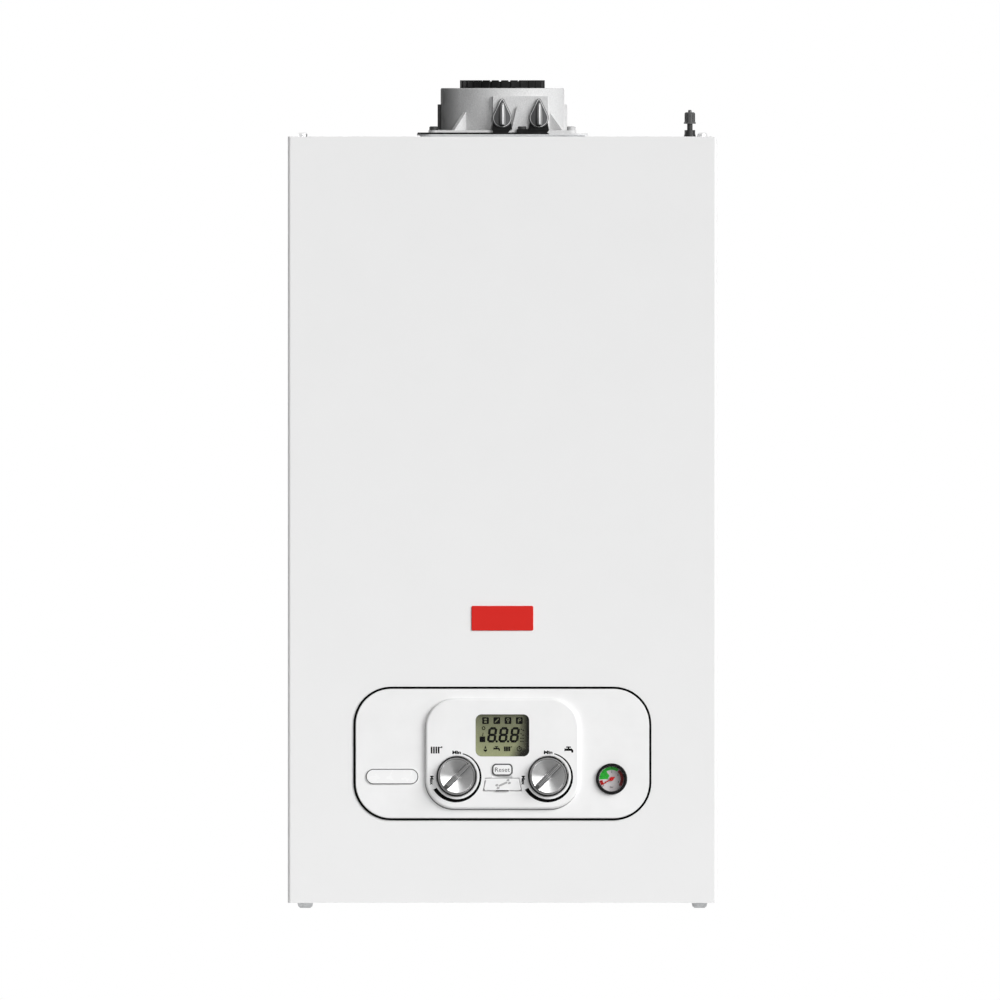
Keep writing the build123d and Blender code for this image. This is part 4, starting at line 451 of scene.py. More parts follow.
def arc_band(centre, start, end, inner, outer_start, outer_end, steps=48):
    """Curved band, clockwise from start to end, whose outer edge swells from one radius to another."""
    angles = [start + (end - start) * step / steps for step in range(steps + 1)]
    inside = [clockwise(angle, inner, centre) for angle in angles]
    grow = (outer_end - outer_start) / steps
    outside = [clockwise(angle, outer_start + grow * step, centre) for step, angle in enumerate(angles)]
    return list(zip(inside, outside))


# ---------------------------------------------------------------- thin solids of ink
def finish_mesh(name, form, material, body):
    """Turn a bmesh, in metres, into an object that rides on a body."""
    bmesh.ops.recalc_face_normals(form, faces=form.faces)
    mesh = bpy.data.meshes.new(name)
    form.to_mesh(mesh)
    form.free()
    mesh.materials.append(material)
    piece = bpy.data.objects.new(name, mesh)
    bpy.context.scene.collection.objects.link(piece)
    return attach(piece, body)


def add_plate(form, outline, surface, rise=INK):
    """Closed outline stood proud of the plane Y = surface, as a solid."""
    back = [form.verts.new((x * MM, (surface + INK) * MM, z * MM)) for x, z in outline]
    front = [form.verts.new((x * MM, (surface - rise) * MM, z * MM)) for x, z in outline]
    form.faces.new(back)
    form.faces.new(front)
    for here in range(len(outline)):
        after = (here + 1) % len(outline)
        form.faces.new((back[here], back[after], front[after], front[here]))


def add_sections(form, sections, closed=False):
    """Solid through a row of sections, each a list of as many (x, y, z) corners."""
    rings = [[form.verts.new(Vector(corner) * MM) for corner in section] for section in sections]
    corners = len(rings[0])
    for here in range(len(rings) if closed else len(rings) - 1):
        after = (here + 1) % len(rings)
        for side in range(corners):
            beside = (side + 1) % corners
            form.faces.new((rings[here][side], rings[here][beside], rings[after][beside], rings[after][side]))
    if not closed:
        form.faces.new(rings[0])
        form.faces.new(rings[-1])


def add_band(form, pairs, surface, rise=INK, closed=False):
    """Band between two edges, given as pairs of points, stood proud as a solid."""
    back, front = surface + INK, surface - rise
    sections = [
        ((x0, back, z0), (x1, back, z1), (x1, front, z1), (x0, front, z0))
        for (x0, z0), (x1, z1) in pairs
    ]
    add_sections(form, sections, closed)


def ink(name, material, body, surface, plates=(), bands=(), frames=(), rise=INK):
    """One thin piece of print or painted light and shade, made of filled outlines, open bands and closed
    frames.
    """
    form = bmesh.new()
    for outline in plates:
        add_plate(form, outline, surface, rise)
    for pairs in bands:
        add_band(form, pairs, surface, rise)
    for inside, outside in frames:
        add_band(form, list(zip(inside, outside)), surface, rise, closed=True)
    return finish_mesh(name, form, material, body)


LETTER_DEPTH = 0.05  # half the depth of a letter, before it is scaled to the ink's


def lettering(name, words, centre, height, surface, material, body, width=None, turn=0.0, weight=0.025):
    """Generic word or number in the built-in face, as a solid of ink. Turn is clockwise, in degrees."""
    curve = bpy.data.curves.new(name, "FONT")
    curve.body = words
    curve.align_x = "CENTER"
    curve.align_y = "CENTER"
    curve.size = 1.0
    curve.extrude = LETTER_DEPTH
    curve.offset = weight
    writer = bpy.data.objects.new(name + "_curve", curve)
    bpy.context.scene.collection.objects.link(writer)
    bpy.context.view_layer.update()
    mesh = bpy.data.meshes.new_from_object(writer.evaluated_get(bpy.context.evaluated_depsgraph_get()))
    bpy.data.objects.remove(writer)
    xs = [v.co.x for v in mesh.vertices]
    ys = [v.co.y for v in mesh.vertices]
    tall = max(ys) - min(ys)
    wide = max(xs) - min(xs)
    scale_y = height * MM / tall
    scale_x = width * MM / wide if width else scale_y
    x, z = centre
    mesh.transform(Matrix.Translation((-(max(xs) + min(xs)) / 2, -(max(ys) + min(ys)) / 2, 0)))
    mesh.transform(Matrix.Diagonal((scale_x, scale_y, INK * MM / LETTER_DEPTH, 1)))
    mesh.transform(Matrix.Rotation(radians(-turn), 4, "Z"))
    mesh.transform(Matrix.Rotation(pi / 2, 4, "X"))
    mesh.transform(Matrix.Translation((x * MM, surface * MM, z * MM)))
    mesh.materials.clear()
    mesh.materials.append(material)
    piece = bpy.data.objects.new(name, mesh)
    bpy.context.scene.collection.objects.link(piece)
    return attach(piece, body)


# ---------------------------------------------------------------- painted shade in the gap and under the moulding of the fascia
CORNER_STEPS = 12
BACKING_WIDTH, BACKING_RISE, BACKING_GAP = 4.0, 3.4, 0.1
FASCIA_CORNER_R = 33.0
GAP_SHADE_INSET, GAP_SHADE_REACH = 0.35, 1.5
GAP_SHADE_BACK, GAP_SHADE_FRONT = -283.0, -285.9
SHADOW_W, SHADOW_H, SHADOW_CORNER_R = 141.0, 101.2, 27.0
SHADOW_WIDTH = 2
SHADOW_LEFT, SHADOW_DOWN = 0.35, 1.1

fascia_w, fascia_h = width_and_height("fascia")


def round_fascia(reach):
    """Outline of the fascia, let out by reach."""
    return rounded(FASCIA, fascia_w + 2 * reach, fascia_h + 2 * reach, FASCIA_CORNER_R + reach, CORNER_STEPS)


# painted shade in the gap round the fascia: a black backing behind the gap and a black band along it
backing_inside = rounded(FASCIA, fascia_w + BACKING_GAP, fascia_h + BACKING_GAP, FASCIA_CORNER_R, CORNER_STEPS)
ink("gap_shade_backing", LOOKS["seal_black"], "root", front_of("control_box"), rise=BACKING_RISE,
    frames=[(backing_inside, round_fascia(BACKING_WIDTH))])
ink("gap_shade_band", INK_BLACK, "root", GAP_SHADE_BACK, rise=GAP_SHADE_BACK - GAP_SHADE_FRONT,
    frames=[(round_fascia(-GAP_SHADE_INSET), round_fascia(GAP_SHADE_REACH))])

# painted shadow under the raised moulding, widest at its lower left
shadow_inside = rounded(
    FASCIA, SHADOW_W - 2 * SHADOW_WIDTH, SHADOW_H - 2 * SHADOW_WIDTH, SHADOW_CORNER_R - SHADOW_WIDTH, CORNER_STEPS)
shadow_centre = (FASCIA[0] - SHADOW_LEFT, FASCIA[1] - SHADOW_DOWN)
shadow_outside = rounded(shadow_centre, SHADOW_W, SHADOW_H, SHADOW_CORNER_R, CORNER_STEPS)
ink("moulding_shadow", SHADOW_GREY, "root", FASCIA_FRONT, frames=[(shadow_inside, shadow_outside)])


# ---------------------------------------------------------------- trim, painted highlights and painted shadow of the sampling caps and the flange
CAP_Z = 76.9
CAP_DEPTH, CAP_PLATE_T = 11.5, 3.0
CAP_LARGE_R, CAP_SMALL_R, CAP_CENTRES_APART = 8.9, 2.2, 15.6
CAP_RIM_INNER, CAP_RIM_OUTER = 1.25, 0.65
CAP_CENTRES = {name: (middle_of(name)[0], CAP_Z) for name in ("sampling_cap_left", "sampling_cap_right")}
PAD_FRONT = front_of("sampling_cap_left") + CAP_DEPTH
PLATE_FRONT = PAD_FRONT - CAP_PLATE_T

BOW_Y, BOW_Z, BOW_R = -200.56, 76.68, 16.49
FIN_HALF_T = 1.3
FIN_SECTIONS = 15
FLANK_FOOT, FLANK_STEP, FLANK_SPREAD = 70.6, 1.45, 0.22
FLANK_UNDER_BOW, FLANK_LEAST_H = 0.5, 0.2
CREST_FOOT, CREST_STEP, CREST_START, CREST_END, CREST_T = 71.1, 1.38, 0.1, 1.38, 0.4


def teardrop(centre, inset):
    """Outline of a cap's plate, drawn in by inset: a large circle and the small one above it."""
    x, z = centre
    large, small = CAP_LARGE_R - inset, CAP_SMALL_R - inset
    top = (x, z + CAP_CENTRES_APART)
    angle = 90 - degrees(asin((large - small) / CAP_CENTRES_APART))
    over = [clockwise(angle * (step / 4 - 1), small, top) for step in range(9)]
    under = [clockwise(angle + (360 - 2 * angle) * step / 36, large, centre) for step in range(37)]
    return over + under


def bow_front(z):
    """Y of the bowed front of a cap's fin at this height."""
    return BOW_Y - (BOW_R ** 2 - (z - BOW_Z) ** 2) ** 0.5


def fin_flank(name, body, material, x, side):
    """Wedge that widens one flank of the fin towards its foot."""
    form = bmesh.new()
    sections = []
    for step in range(FIN_SECTIONS):
        z = FLANK_FOOT + step * FLANK_STEP
        crest = min(bow_front(z) + FLANK_UNDER_BOW, PLATE_FRONT - FLANK_LEAST_H)
        near = x + side * FIN_HALF_T
        far = x + side * (FIN_HALF_T + FLANK_SPREAD * (PLATE_FRONT - crest))
        sections.append(((near, crest, z), (near, PLATE_FRONT + INK, z), (far, PLATE_FRONT + INK, z)))
    add_sections(form, sections)
    finish_mesh(name, form, material, body)


def fin_crest(name, body, material, x):
    """Painted highlight: pale strip that follows the bow on the lit side of the fin's front."""
    form = bmesh.new()
    sections = []
    left, right = x + CREST_START, x + CREST_END
    for step in range(FIN_SECTIONS):
        z = CREST_FOOT + step * CREST_STEP
        front, back = bow_front(z) - INK, bow_front(z) + CREST_T
        sections.append(((left, front, z), (right, front, z), (right, back, z), (left, back, z)))
    add_sections(form, sections)
    finish_mesh(name, form, material, body)


# painted highlights on each cap: a pale rim round its plate, a pale lit right flank and a pale crest on its
# fin; the left flank stays dark
for body, centre in CAP_CENTRES.items():
    rim = (teardrop(centre, CAP_RIM_INNER), teardrop(centre, CAP_RIM_OUTER))
    ink(body + "_rim", CAP_RIM_HIGHLIGHT, body, PLATE_FRONT, frames=[rim])
    fin_flank(body + "_flank_left", body, CAP_FLANK, centre[0], -1)
    fin_flank(body + "_flank_right", body, CAP_LIT, centre[0], 1)
    fin_crest(body + "_crest", body, CAP_CREST_HIGHLIGHT, centre[0])

# painted shadow: a black piece under the two caps, lying on the step of the flange below them
STEP_TOP = 65.7
CAP_SHADOW_TOP = STEP_TOP + 1.2
HUMP_R, HUMP_START, HUMP_SWEEP, HUMP_RISE = 9.15, 118, 124, 4.5
FOOT_LEFT, FOOT_RIGHT = 9.4, 9.0
LEAF_RISE = 17.2
FLANGE_TOP, LIP_TOP = 63.1, 65.4
LIP_BACK, LIP_RISE, LIP_SLANT = -220.7, 1.8, 2

left_x, right_x = (centre[0] for centre in CAP_CENTRES.values())
leaf_ends = ((left_x - 9.2, left_x + 7.6), (right_x - 9.4, right_x + 9.2))
lip_ends = ((left_x - 8.4, left_x + 7.0), (left_x + 13.3, right_x + 9.0))
form = bmesh.new()
for centre in CAP_CENTRES.values():
    hollow = [clockwise(HUMP_START + HUMP_SWEEP * step / 24, HUMP_R, centre) for step in range(25)]
    feet = [(centre[0] - FOOT_LEFT, CAP_SHADOW_TOP), (centre[0] + FOOT_RIGHT, CAP_SHADOW_TOP)]
    add_plate(form, hollow + feet, PAD_FRONT, HUMP_RISE)
for start, end in leaf_ends:
    leaf = [(start, STEP_TOP - INK), (end, STEP_TOP - INK), (end, CAP_SHADOW_TOP), (start, CAP_SHADOW_TOP)]
    add_plate(form, leaf, PAD_FRONT - 1, LEAF_RISE)
for start, end in lip_ends:
    slant = [(end - LIP_SLANT, FLANGE_TOP), (end, LIP_TOP)]
    add_plate(form, [(start, FLANGE_TOP), *slant, (end, CAP_SHADOW_TOP), (start, CAP_SHADOW_TOP)], LIP_BACK, LIP_RISE)
finish_mesh("cap_shadow", form, LOOKS["seal_black"], "root")

# painted shade: dark strip along the left of the flange's front edge
FLANGE_EDGE_SHADE = [(-77.4, 62.1), (43, 62.1), (41, 63.7), (-77.4, 63.7)]
ink("flange_edge_shade", LOOKS["seal_black"], "root", front_of("flue_adaptor"), plates=[FLANGE_EDGE_SHADE], rise=0.25)


# ---------------------------------------------------------------- prints and painted shade on and round the knobs
SCALE_START, SCALE_END, SCALE_INNER = 15, 240, 20.9
SCALE_THIN, SCALE_THICK = 0.9, 3.6
MIN_UP, MAX_LEFT, MAX_DOWN = 21.9, 22.7, 3.7
WORD_H, WORD_WEIGHT, MIN_W, MAX_W = 3.2, 0.045, 7.8, 8.4
POINTER_ANGLE = 225
DOT_AT, DOT_R = 13.6, 1.9
RIM_BEHIND, RIM_RISE, RIM_INNER, RIM_OUTER = 13.0, 0.65, 17.35, 18.2
RING_BEHIND, RING_INNER, RING_OUTER = 5.9, 15.4, 15.95
RIDGE_OFFSETS, RIDGE_TAIL, RIDGE_TIP, RIDGE_LINE_W = (1.0, -0.3), 11.4, 13.6, 0.42

for body, centre in KNOBS.items():
    x, z = centre
    side = body.split("_")[0]
    swell = (SCALE_INNER, SCALE_INNER + SCALE_THIN, SCALE_INNER + SCALE_THICK)
    sweep = arc_band(centre, SCALE_START, SCALE_END, *swell, steps=60)
    ink(side + "_scale", INK_BLACK, "root", MOULDING_FRONT, bands=[sweep])
    lettering(side + "_min", "Min", (x, z + MIN_UP), WORD_H, MOULDING_FRONT, INK_BLACK, "root",
              width=MIN_W, weight=WORD_WEIGHT)
    lettering(side + "_max", "Max", (x - MAX_LEFT, z - MAX_DOWN), WORD_H, MOULDING_FRONT, INK_BLACK, "root",
              width=MAX_W, turn=90, weight=WORD_WEIGHT)
    front = front_of(body)
    dot = circle(clockwise(POINTER_ANGLE, DOT_AT, centre), DOT_R, 24)
    ink(side + "_dot", INK_GREY, body, front, plates=[dot])
    # painted shade: a black ring on the edge of the knob's skirt, where the gap round it is in shade, and a
    # grey ring further in
    rim = (circle(centre, RIM_INNER, 64), circle(centre, RIM_OUTER, 64))
    ink(side + "_rim", INK_BLACK, body, front + RIM_BEHIND, frames=[rim], rise=RIM_RISE)
    ring = (circle(centre, RING_INNER, 64), circle(centre, RING_OUTER, 64))
    ink(side + "_ring", INK_GREY, body, front + RING_BEHIND, frames=[ring])
    lines = []
    for offset in RIDGE_OFFSETS:
        tail = clockwise(POINTER_ANGLE - 90, -offset, clockwise(POINTER_ANGLE, RIDGE_TAIL, centre))
        tip = clockwise(POINTER_ANGLE - 90, -offset, clockwise(POINTER_ANGLE - 180, RIDGE_TIP, centre))
        lines.append(bar(tail, tip, RIDGE_LINE_W))
    ink(side + "_ridge_lines", INK_GREY, body, front, plates=lines)

RADIATOR, RADIATOR_H, RADIATOR_PITCH, RADIATOR_THICK = (-60.6, -500.4), 6.2, 2.15, 0.7
TAP, TAP_W = (60.8, -500.4), 7.8


def radiator(centre, height, pitch, thickness):
    """Four bars and the valve at their upper right. Thickness is a share of the pitch."""
    x, z = centre
    bars = [rectangle((x + (step - 1.9) * pitch, z), thickness * pitch, height) for step in range(4)]
    valve = circle((x + 2.35 * pitch, z + 0.42 * height), 0.36 * pitch, 16)
    stalk = bar((x + 1.1 * pitch, z + 0.3 * height), (x + 2.2 * pitch, z + 0.42 * height), 0.3 * pitch)
    return bars + [valve, stalk]


def tap(centre, width):
    """Tap seen from its side: handle, stem, body, spout and inlet, on a grid ten units wide."""
    x, z = centre
    unit = width / 10
    spout = ((2, 1.6), (3.9, 1.2), (5, -0.4), (5, -3), (2.9, -3), (2.6, -0.8))
    return [
        rectangle((x - 0.5 * unit, z + 3.5 * unit), 5.4 * unit, 1.4 * unit),
        rectangle((x - 0.5 * unit, z + 2.2 * unit), 1.7 * unit, 2.0 * unit),
        rectangle((x - 0.7 * unit, z + 0.4 * unit), 8.4 * unit, 2.7 * unit),
        [(x + across * unit, z + up * unit) for across, up in spout],
        rectangle((x - 4.9 * unit, z + 0.4 * unit), 0.9 * unit, 3.4 * unit),
    ]


ink("radiator_symbol", INK_BLACK, "root", MOULDING_FRONT,
    plates=radiator(RADIATOR, RADIATOR_H, RADIATOR_PITCH, RADIATOR_THICK))
ink("tap_symbol", INK_BLACK, "root", MOULDING_FRONT, plates=tap(TAP, TAP_W))


# ---------------------------------------------------------------- liquid crystal display
DIGIT_H, DIGIT_W, DIGIT_STROKE, DIGIT_SLANT = 14.1, 8.1, 2.3, 0.14
DIGIT_PITCH, DIGIT_LEFT, DIGIT_UP = 10.3, 0.6, 0.5
DIGIT_COLUMNS = (-0.85, 0.15, 1.15)  # middles of the digits, in pitches
SEGMENT_GAP, SEGMENT_POINT = 0.12, 0.6  # shares of half the stroke
POINT_XS, POINT_DOWN, POINT_R = (-5.2, 5.2), 5.5, 1.1


def segments(centre):
    """The seven bars of a digit, slanted, each with pointed ends."""
    x, z = centre
    half_w, half_h = (DIGIT_W - DIGIT_STROKE) / 2, (DIGIT_H - DIGIT_STROKE) / 2

    def piece(ax, az, bx, bz):
        step = Vector((bx - ax, bz - az)).normalized() * (DIGIT_STROKE / 2)
        side = Vector((-step.y, step.x))
        start = Vector((ax, az)) + step * SEGMENT_GAP
        end = Vector((bx, bz)) - step * SEGMENT_GAP
        nip = step * SEGMENT_POINT
        corners = (start, start + nip + side, end - nip + side, end, end - nip - side, start + nip - side)
        return [(x + c.x + DIGIT_SLANT * c.y, z + c.y) for c in corners]

    flat = [piece(-half_w, level, half_w, level) for level in (half_h, 0, -half_h)]
    upper = [piece(across, 0, across, half_h) for across in (-half_w, half_w)]
    lower = [piece(across, -half_h, across, 0) for across in (-half_w, half_w)]
    return flat + upper + lower


def flame(centre, height):
    """Bowl-shaped flame with its small tip standing clear above, on a grid ten units high."""
    x, z = centre
    unit = height / 10
    bowl = ((-3, -0.4), (-2.7, -2.9), (0, -5), (2.7, -2.9), (3, -0.4), (0, -1.4))
    tip = ((-1.9, 0.4), (1.9, 0.4), (0, 5.4))
    return [[(x + across * unit, z + up * unit) for across, up in shape] for shape in (bowl, tip)]


display_x, display_z = DISPLAY
digits = []
for column in DIGIT_COLUMNS:
    digits += segments((display_x - DIGIT_LEFT + column * DIGIT_PITCH, display_z + DIGIT_UP))
points = [circle((display_x + x, display_z - POINT_DOWN), POINT_R, 14) for x in POINT_XS]
ink("display_digits", INK_BLACK, "root", DISPLAY_FRONT, plates=digits + points)

# row of dark squares along the top, each with a pale sign drawn round its middle
ICON_OFFSETS = (-15.4, -5.1, 5.1, 15.4)
ICON_UP, ICON_SIZE, ICON_CORNER_R = 13.5, 6.1, 0.7
icon_xs = [display_x + offset for offset in ICON_OFFSETS]
icon_z = display_z + ICON_UP
boxes_x, slash_x, lamp_x, loop_x = icon_xs
ink("display_squares", INK_BLACK, "root", DISPLAY_FRONT,
    plates=[rounded((x, icon_z), ICON_SIZE, ICON_SIZE, ICON_CORNER_R, 3) for x in icon_xs])
pale_marks = [
    rectangle((boxes_x, icon_z + 1.1), 2.4, 1.5),
    rectangle((boxes_x, icon_z - 1.2), 2.4, 1.5),
    bar((slash_x - 1.7, icon_z - 1.6), (slash_x + 1.7, icon_z + 1.7), 1.0),
    rectangle((lamp_x, icon_z - 1.3), 1.0, 1.9),
    rectangle((loop_x - 0.9, icon_z - 0.4), 0.7, 3.2),
]
lamp, loop = (lamp_x, icon_z + 0.8), (loop_x + 0.3, icon_z + 0.8)
pale_rings = [
    (circle(spot, inner, 20), circle(spot, outer, 20))
    for spot, inner, outer in ((lamp, 0.75, 1.45), (loop, 0.6, 1.3))
]
ink("display_square_marks", LOOKS["display_olive"], "root", DISPLAY_FRONT - INK,
    plates=pale_marks, frames=pale_rings)

# row of signs along the foot: flame, tap, radiator and clock
MARK_DOWN = 12.3
mark_z = display_z - MARK_DOWN
flame_x, tap_x, radiator_x, clock_x = icon_xs
clock = (clock_x, mark_z)
marks = flame((flame_x - 0.1, mark_z), 5.8) + tap((tap_x, mark_z), 5.8)
marks += radiator((radiator_x - 0.2, mark_z), 4.3, 1.5, 0.84)
marks += [
    bar(clock, (clock_x, mark_z + 1.5), 0.5),
    bar(clock, (clock_x + 1.0, mark_z + 0.6), 0.5),
    rectangle((clock_x, mark_z + 2.5), 0.9, 0.8),
]
clock_ring = (circle(clock, 1.65, 24), circle(clock, 2.3, 24))
ink("display_marks", INK_BLACK, "root", DISPLAY_FRONT, plates=marks, frames=[clock_ring])

# dark block and small signs at the left, unit marks at the right
BLOCK_LEFT, BLOCK_DOWN, BLOCK_SIZE = 18.2, 3.6, 5.2
side_x = display_x - BLOCK_LEFT
ink("display_side_block", INK_BLACK, "root", DISPLAY_FRONT,
    plates=[rectangle((side_x, display_z - BLOCK_DOWN), BLOCK_SIZE, BLOCK_SIZE)])
UNIT_RIGHT, UNIT_W, UNIT_H = 17.9, 1.4, 0.9
UNIT_SPOTS = (
    (-0.6, 5.6), (1.2, 4.6), (-0.9, 1.4), (0.9, 0.2),
    (-1.0, -2.6), (1.0, -2.6), (-1.0, -5.4), (1.0, -5.4),
)
units = [rectangle((display_x + UNIT_RIGHT + dx, display_z + dz), UNIT_W, UNIT_H) for dx, dz in UNIT_SPOTS]
probe = bar((side_x, display_z - 0.6), (side_x + 0.7, display_z + 2.4), 0.7)
eye = (side_x + 1.0, display_z + 6.6)
ink("display_side_marks", INK_BLACK, "root", DISPLAY_FRONT,
    plates=units + [probe], frames=[(circle(eye, 0.9, 20), circle(eye, 1.7, 20))])


# ---------------------------------------------------------------- reset button, flap and pill plate
RESET_W, RESET_H, RESET_CORNER_R, RESET_LINE = 18.5, 10.8, 3.7, 1.1
RESET_WORD_H, RESET_WORD_W = 3.9, 13.6
reset_front = front_of("reset_button")
# painted shade: dark ring round the edge of the reset button, where its gap and edge are in shade
reset_inside = rounded(RESET, RESET_W - 2 * RESET_LINE, RESET_H - 2 * RESET_LINE, RESET_CORNER_R - 1)
reset_outside = rounded(RESET, RESET_W, RESET_H, RESET_CORNER_R)
ink("reset_shade_outline", INK_GREY, "reset_button", reset_front, frames=[(reset_inside, reset_outside)])
lettering("reset_word", "Reset", RESET, RESET_WORD_H, reset_front, INK_GREY, "reset_button",
          width=RESET_WORD_W, weight=0.0)

SPANNER, SPANNER_LENGTH, SPANNER_LEAN = (0.6, -531.5), 14.4, 24
SPANNER_SHAFT = ((-0.3, 0.06), (-0.3, -0.06), (0.3, -0.06), (0.3, 0.06))
SPANNER_JAW = ((0.5, 0.1), (0.42, 0.02), (0.36, 0.02), (0.28, 0.12), (0.34, 0.16), (0.44, 0.17))


def spanner():
    """Open-ended spanner, leaning up to the right. Its shapes are in shares of its length."""
    reach = Vector((cos(radians(SPANNER_LEAN)), sin(radians(SPANNER_LEAN)))) * SPANNER_LENGTH
    side = Vector((-reach.y, reach.x))

    def drawn(shape):
        spots = [Vector(SPANNER) + reach * along + side * across for along, across in shape]
        return [(spot.x, spot.y) for spot in spots]

    mirrored = [[(i * along, j * across) for along, across in SPANNER_JAW] for i in (-1, 1) for j in (1, -1)]
    return [drawn(shape) for shape in [SPANNER_SHAFT] + mirrored]


ink("flap_spanner", INK_PALE, "service_flap", FLAP_FRONT, plates=spanner())
# painted shadow: dark mark at the foot of the flap, under its finger lip
LIP, LIP_W, LIP_H, LIP_CORNER_R = (0, -537.6), 11.8, 1.3, 0.6
ink("flap_lip_shadow", INK_GREY, "service_flap", front_of("service_flap"),
    plates=[rounded(LIP, LIP_W, LIP_H, LIP_CORNER_R)])

PILL_LINE_INNER, PILL_LINE_OUTER, PILL_END_FLAT = 0.95, 0.15, 0.01
pill_w, pill_h = width_and_height("pill_badge")
pill_line = [
    rounded(PILL, pill_w - 2 * inset, pill_h - 2 * inset, pill_h / 2 - inset - PILL_END_FLAT, CORNER_STEPS)
    for inset in (PILL_LINE_INNER, PILL_LINE_OUTER)
]
ink("pill_outline", INK_GREY, "root", front_of("pill_badge"), frames=[pill_line])


# ---------------------------------------------------------------- prints on the dial of the gauge
RING_INNER_R, RING_OUTER_R = 11.5, 12.05
COLOUR_OUTER_R, COLOUR_INNER_R, FAN_INNER_R = 11.2, 8.2, 3.2
GREEN_START, GREEN_NARROWS, GREEN_END = 267, 325, 395
RED_HIGH_START, RED_HIGH_END, RED_HIGH_OUTER_R = 402, 488, 11.0
RED_LOW_START, RED_LOW_END, RED_LOW_INNER_R = 238, 262, 8.4
dial_ring = (circle(GAUGE, RING_INNER_R, 64), circle(GAUGE, RING_OUTER_R, 64))
ink("dial_ring", INK_BLACK, "root", DIAL_FRONT, frames=[dial_ring])


def dial_band(start, end, inner, outer, steps):
    """Band of even width on the dial, clockwise between two angles."""
    return arc_band(GAUGE, start, end, inner, outer, outer, steps)


green_fan = dial_band(GREEN_START, GREEN_NARROWS, FAN_INNER_R, COLOUR_OUTER_R, 20)
green_rim = dial_band(GREEN_NARROWS, GREEN_END, COLOUR_INNER_R, COLOUR_OUTER_R, 20)
red_high = dial_band(RED_HIGH_START, RED_HIGH_END, COLOUR_INNER_R, RED_HIGH_OUTER_R, 24)
red_low = dial_band(RED_LOW_START, RED_LOW_END, RED_LOW_INNER_R, COLOUR_OUTER_R, 10)
ink("dial_green_fan", INK_GREEN, "root", DIAL_FRONT, bands=[green_fan])
ink("dial_green_rim", INK_GREEN, "root", DIAL_FRONT, bands=[green_rim])
ink("dial_red_rim", INK_RED, "root", DIAL_FRONT, bands=[red_high, red_low])

TICK_START, TICK_END, TICK_PITCH = 230, 490, 26
TICK_INNER, TICK_OUTER, TICK_W = 9.0, 11.6, 0.35
ticks = [
    bar(clockwise(angle, TICK_INNER, GAUGE), clockwise(angle, TICK_OUTER, GAUGE), TICK_W)
    for angle in range(TICK_START, TICK_END + 1, TICK_PITCH)
]
ink("dial_ticks", INK_BLACK, "root", DIAL_FRONT - INK, plates=ticks)

NUMBER_ANGLES, NUMBER_R, NUMBER_H = (240, 305, 0, 57, 115), 6.6, 1.9
for number, angle in enumerate(NUMBER_ANGLES):
    spot = clockwise(angle, NUMBER_R, GAUGE)
    lettering(f"dial_number_{number}", str(number), spot, NUMBER_H, DIAL_FRONT - INK, INK_GREY, "root")
DIAL_WORD_DOWN, DIAL_WORD_H = 7.4, 1.8
dial_word = (GAUGE[0], GAUGE[1] - DIAL_WORD_DOWN)
lettering("dial_unit", "bar", dial_word, DIAL_WORD_H, DIAL_FRONT, INK_GREY, "root")


# ---------------------------------------------------------------- light, floor and camera
FRAME_WIDTH = 0.9134
CAMERA_X, CAMERA_Z = -0.00219, -0.272
CAMERA_DISTANCE, CAMERA_REACH = 3.5, 50
FLOOR_Z, FLOOR_HALF = -0.86, 4.0
FLOOR_GREY, FLOOR_GLOW = 0.72, 0.34
WORLD_LIGHT = 0.06
SUN_DISTANCE = 4


def sun(name, azimuth, elevation, strength, softness):
    """Far soft light; its azimuth is measured from the front towards the right. Angles in degrees."""
    data = bpy.data.lights.new(name, "SUN")
    data.energy = strength
    data.angle = radians(softness)
    light = bpy.data.objects.new(name, data)
    level = cos(radians(elevation))
    towards = Vector((sin(radians(azimuth)) * level, -cos(radians(azimuth)) * level, sin(radians(elevation))))
    light.location = towards * SUN_DISTANCE
    light.rotation_euler = (-towards).to_track_quat("-Z", "Y").to_euler()
    bpy.context.scene.collection.objects.link(light)


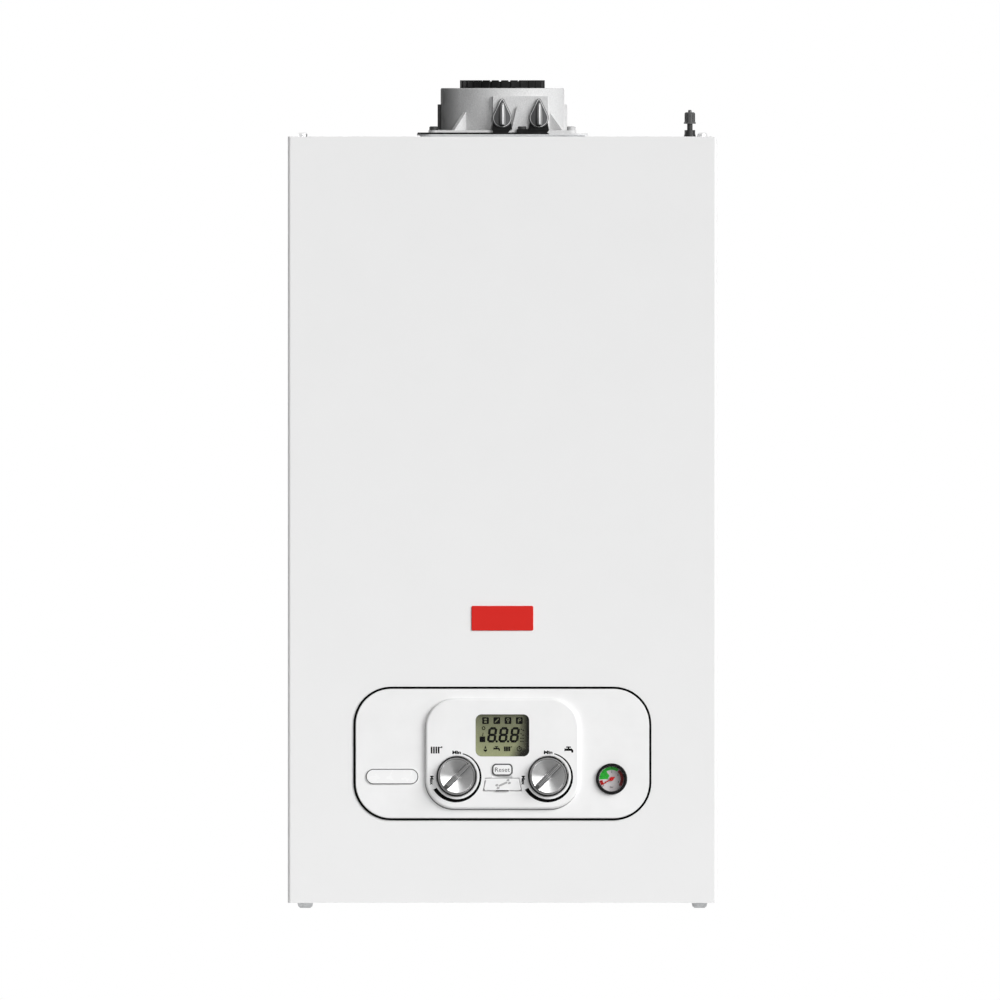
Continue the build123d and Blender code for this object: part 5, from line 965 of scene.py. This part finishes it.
def pale_world():
    """White to the camera and in reflections, a weaker even grey as light."""
    world = bpy.data.worlds.new("studio")
    bpy.context.scene.world = world
    world.use_nodes = True
    nodes, links = world.node_tree.nodes, world.node_tree.links
    dim = nodes["Background"]
    dim.inputs["Color"].default_value = (1, 1, 1, 1)
    dim.inputs["Strength"].default_value = WORLD_LIGHT
    white = nodes.new("ShaderNodeBackground")
    white.inputs["Color"].default_value = (1, 1, 1, 1)
    white.inputs["Strength"].default_value = 1.0
    ray = nodes.new("ShaderNodeLightPath")
    first, second = nodes.new("ShaderNodeMath"), nodes.new("ShaderNodeMath")
    first.operation = second.operation = "MAXIMUM"
    links.new(ray.outputs["Is Camera Ray"], first.inputs[0])
    links.new(ray.outputs["Is Glossy Ray"], first.inputs[1])
    links.new(first.outputs[0], second.inputs[0])
    links.new(ray.outputs["Is Transmission Ray"], second.inputs[1])
    mix = nodes.new("ShaderNodeMixShader")
    links.new(second.outputs[0], mix.inputs["Fac"])
    links.new(dim.outputs[0], mix.inputs[1])
    links.new(white.outputs[0], mix.inputs[2])
    links.new(mix.outputs[0], nodes["World Output"].inputs["Surface"])


def studio_floor():
    """Pale floor under the hanging boiler, with the boiler's shadow on it."""
    form = bmesh.new()
    corners = ((-1, -1), (1, -1), (1, 1), (-1, 1))
    form.faces.new([form.verts.new((i * FLOOR_HALF, j * FLOOR_HALF, FLOOR_Z)) for i, j in corners])
    mesh = bpy.data.meshes.new("studio_floor")
    form.to_mesh(mesh)
    form.free()
    material = look("studio_floor", grey(FLOOR_GREY), 0.8, gloss=0.1)
    vary_colour(material, noise(material, 60), grey(FLOOR_GREY - 0.005), grey(FLOOR_GREY + 0.005))
    # a glow that only the camera and reflections see, so the floor is pale and still shows the shadow
    ray = add(material, "LightPath")
    seen = largest(material, ray.outputs["Is Camera Ray"], ray.outputs["Is Glossy Ray"])
    glow = add(material, "Math")
    glow.operation = "MULTIPLY"
    glow.inputs[1].default_value = FLOOR_GLOW
    join(material, largest(material, seen, ray.outputs["Is Transmission Ray"]), glow.inputs[0])
    shader = shader_of(material)
    shader.inputs["Emission Color"].default_value = (1, 1, 1, 1)
    join(material, glow.outputs["Value"], shader.inputs["Emission Strength"])
    mesh.materials.append(material)
    floor = bpy.data.objects.new("studio_floor", mesh)
    bpy.context.scene.collection.objects.link(floor)


pale_world()
studio_floor()
sun("key", azimuth=52, elevation=24, strength=3.2, softness=40)
sun("front", azimuth=12, elevation=13, strength=0.7, softness=6)
sun("rear", azimuth=-115, elevation=10, strength=0.5, softness=30)

camera = bpy.data.cameras.new("camera")
camera.type = "ORTHO"
camera.ortho_scale = FRAME_WIDTH
camera.clip_end = CAMERA_REACH
viewer = bpy.data.objects.new("camera", camera)
viewer.location = (CAMERA_X, -CAMERA_DISTANCE, CAMERA_Z)
viewer.rotation_euler = (pi / 2, 0, 0)
bpy.context.scene.collection.objects.link(viewer)
bpy.context.scene.camera = viewer
bpy.context.scene.view_settings.view_transform = "Standard"
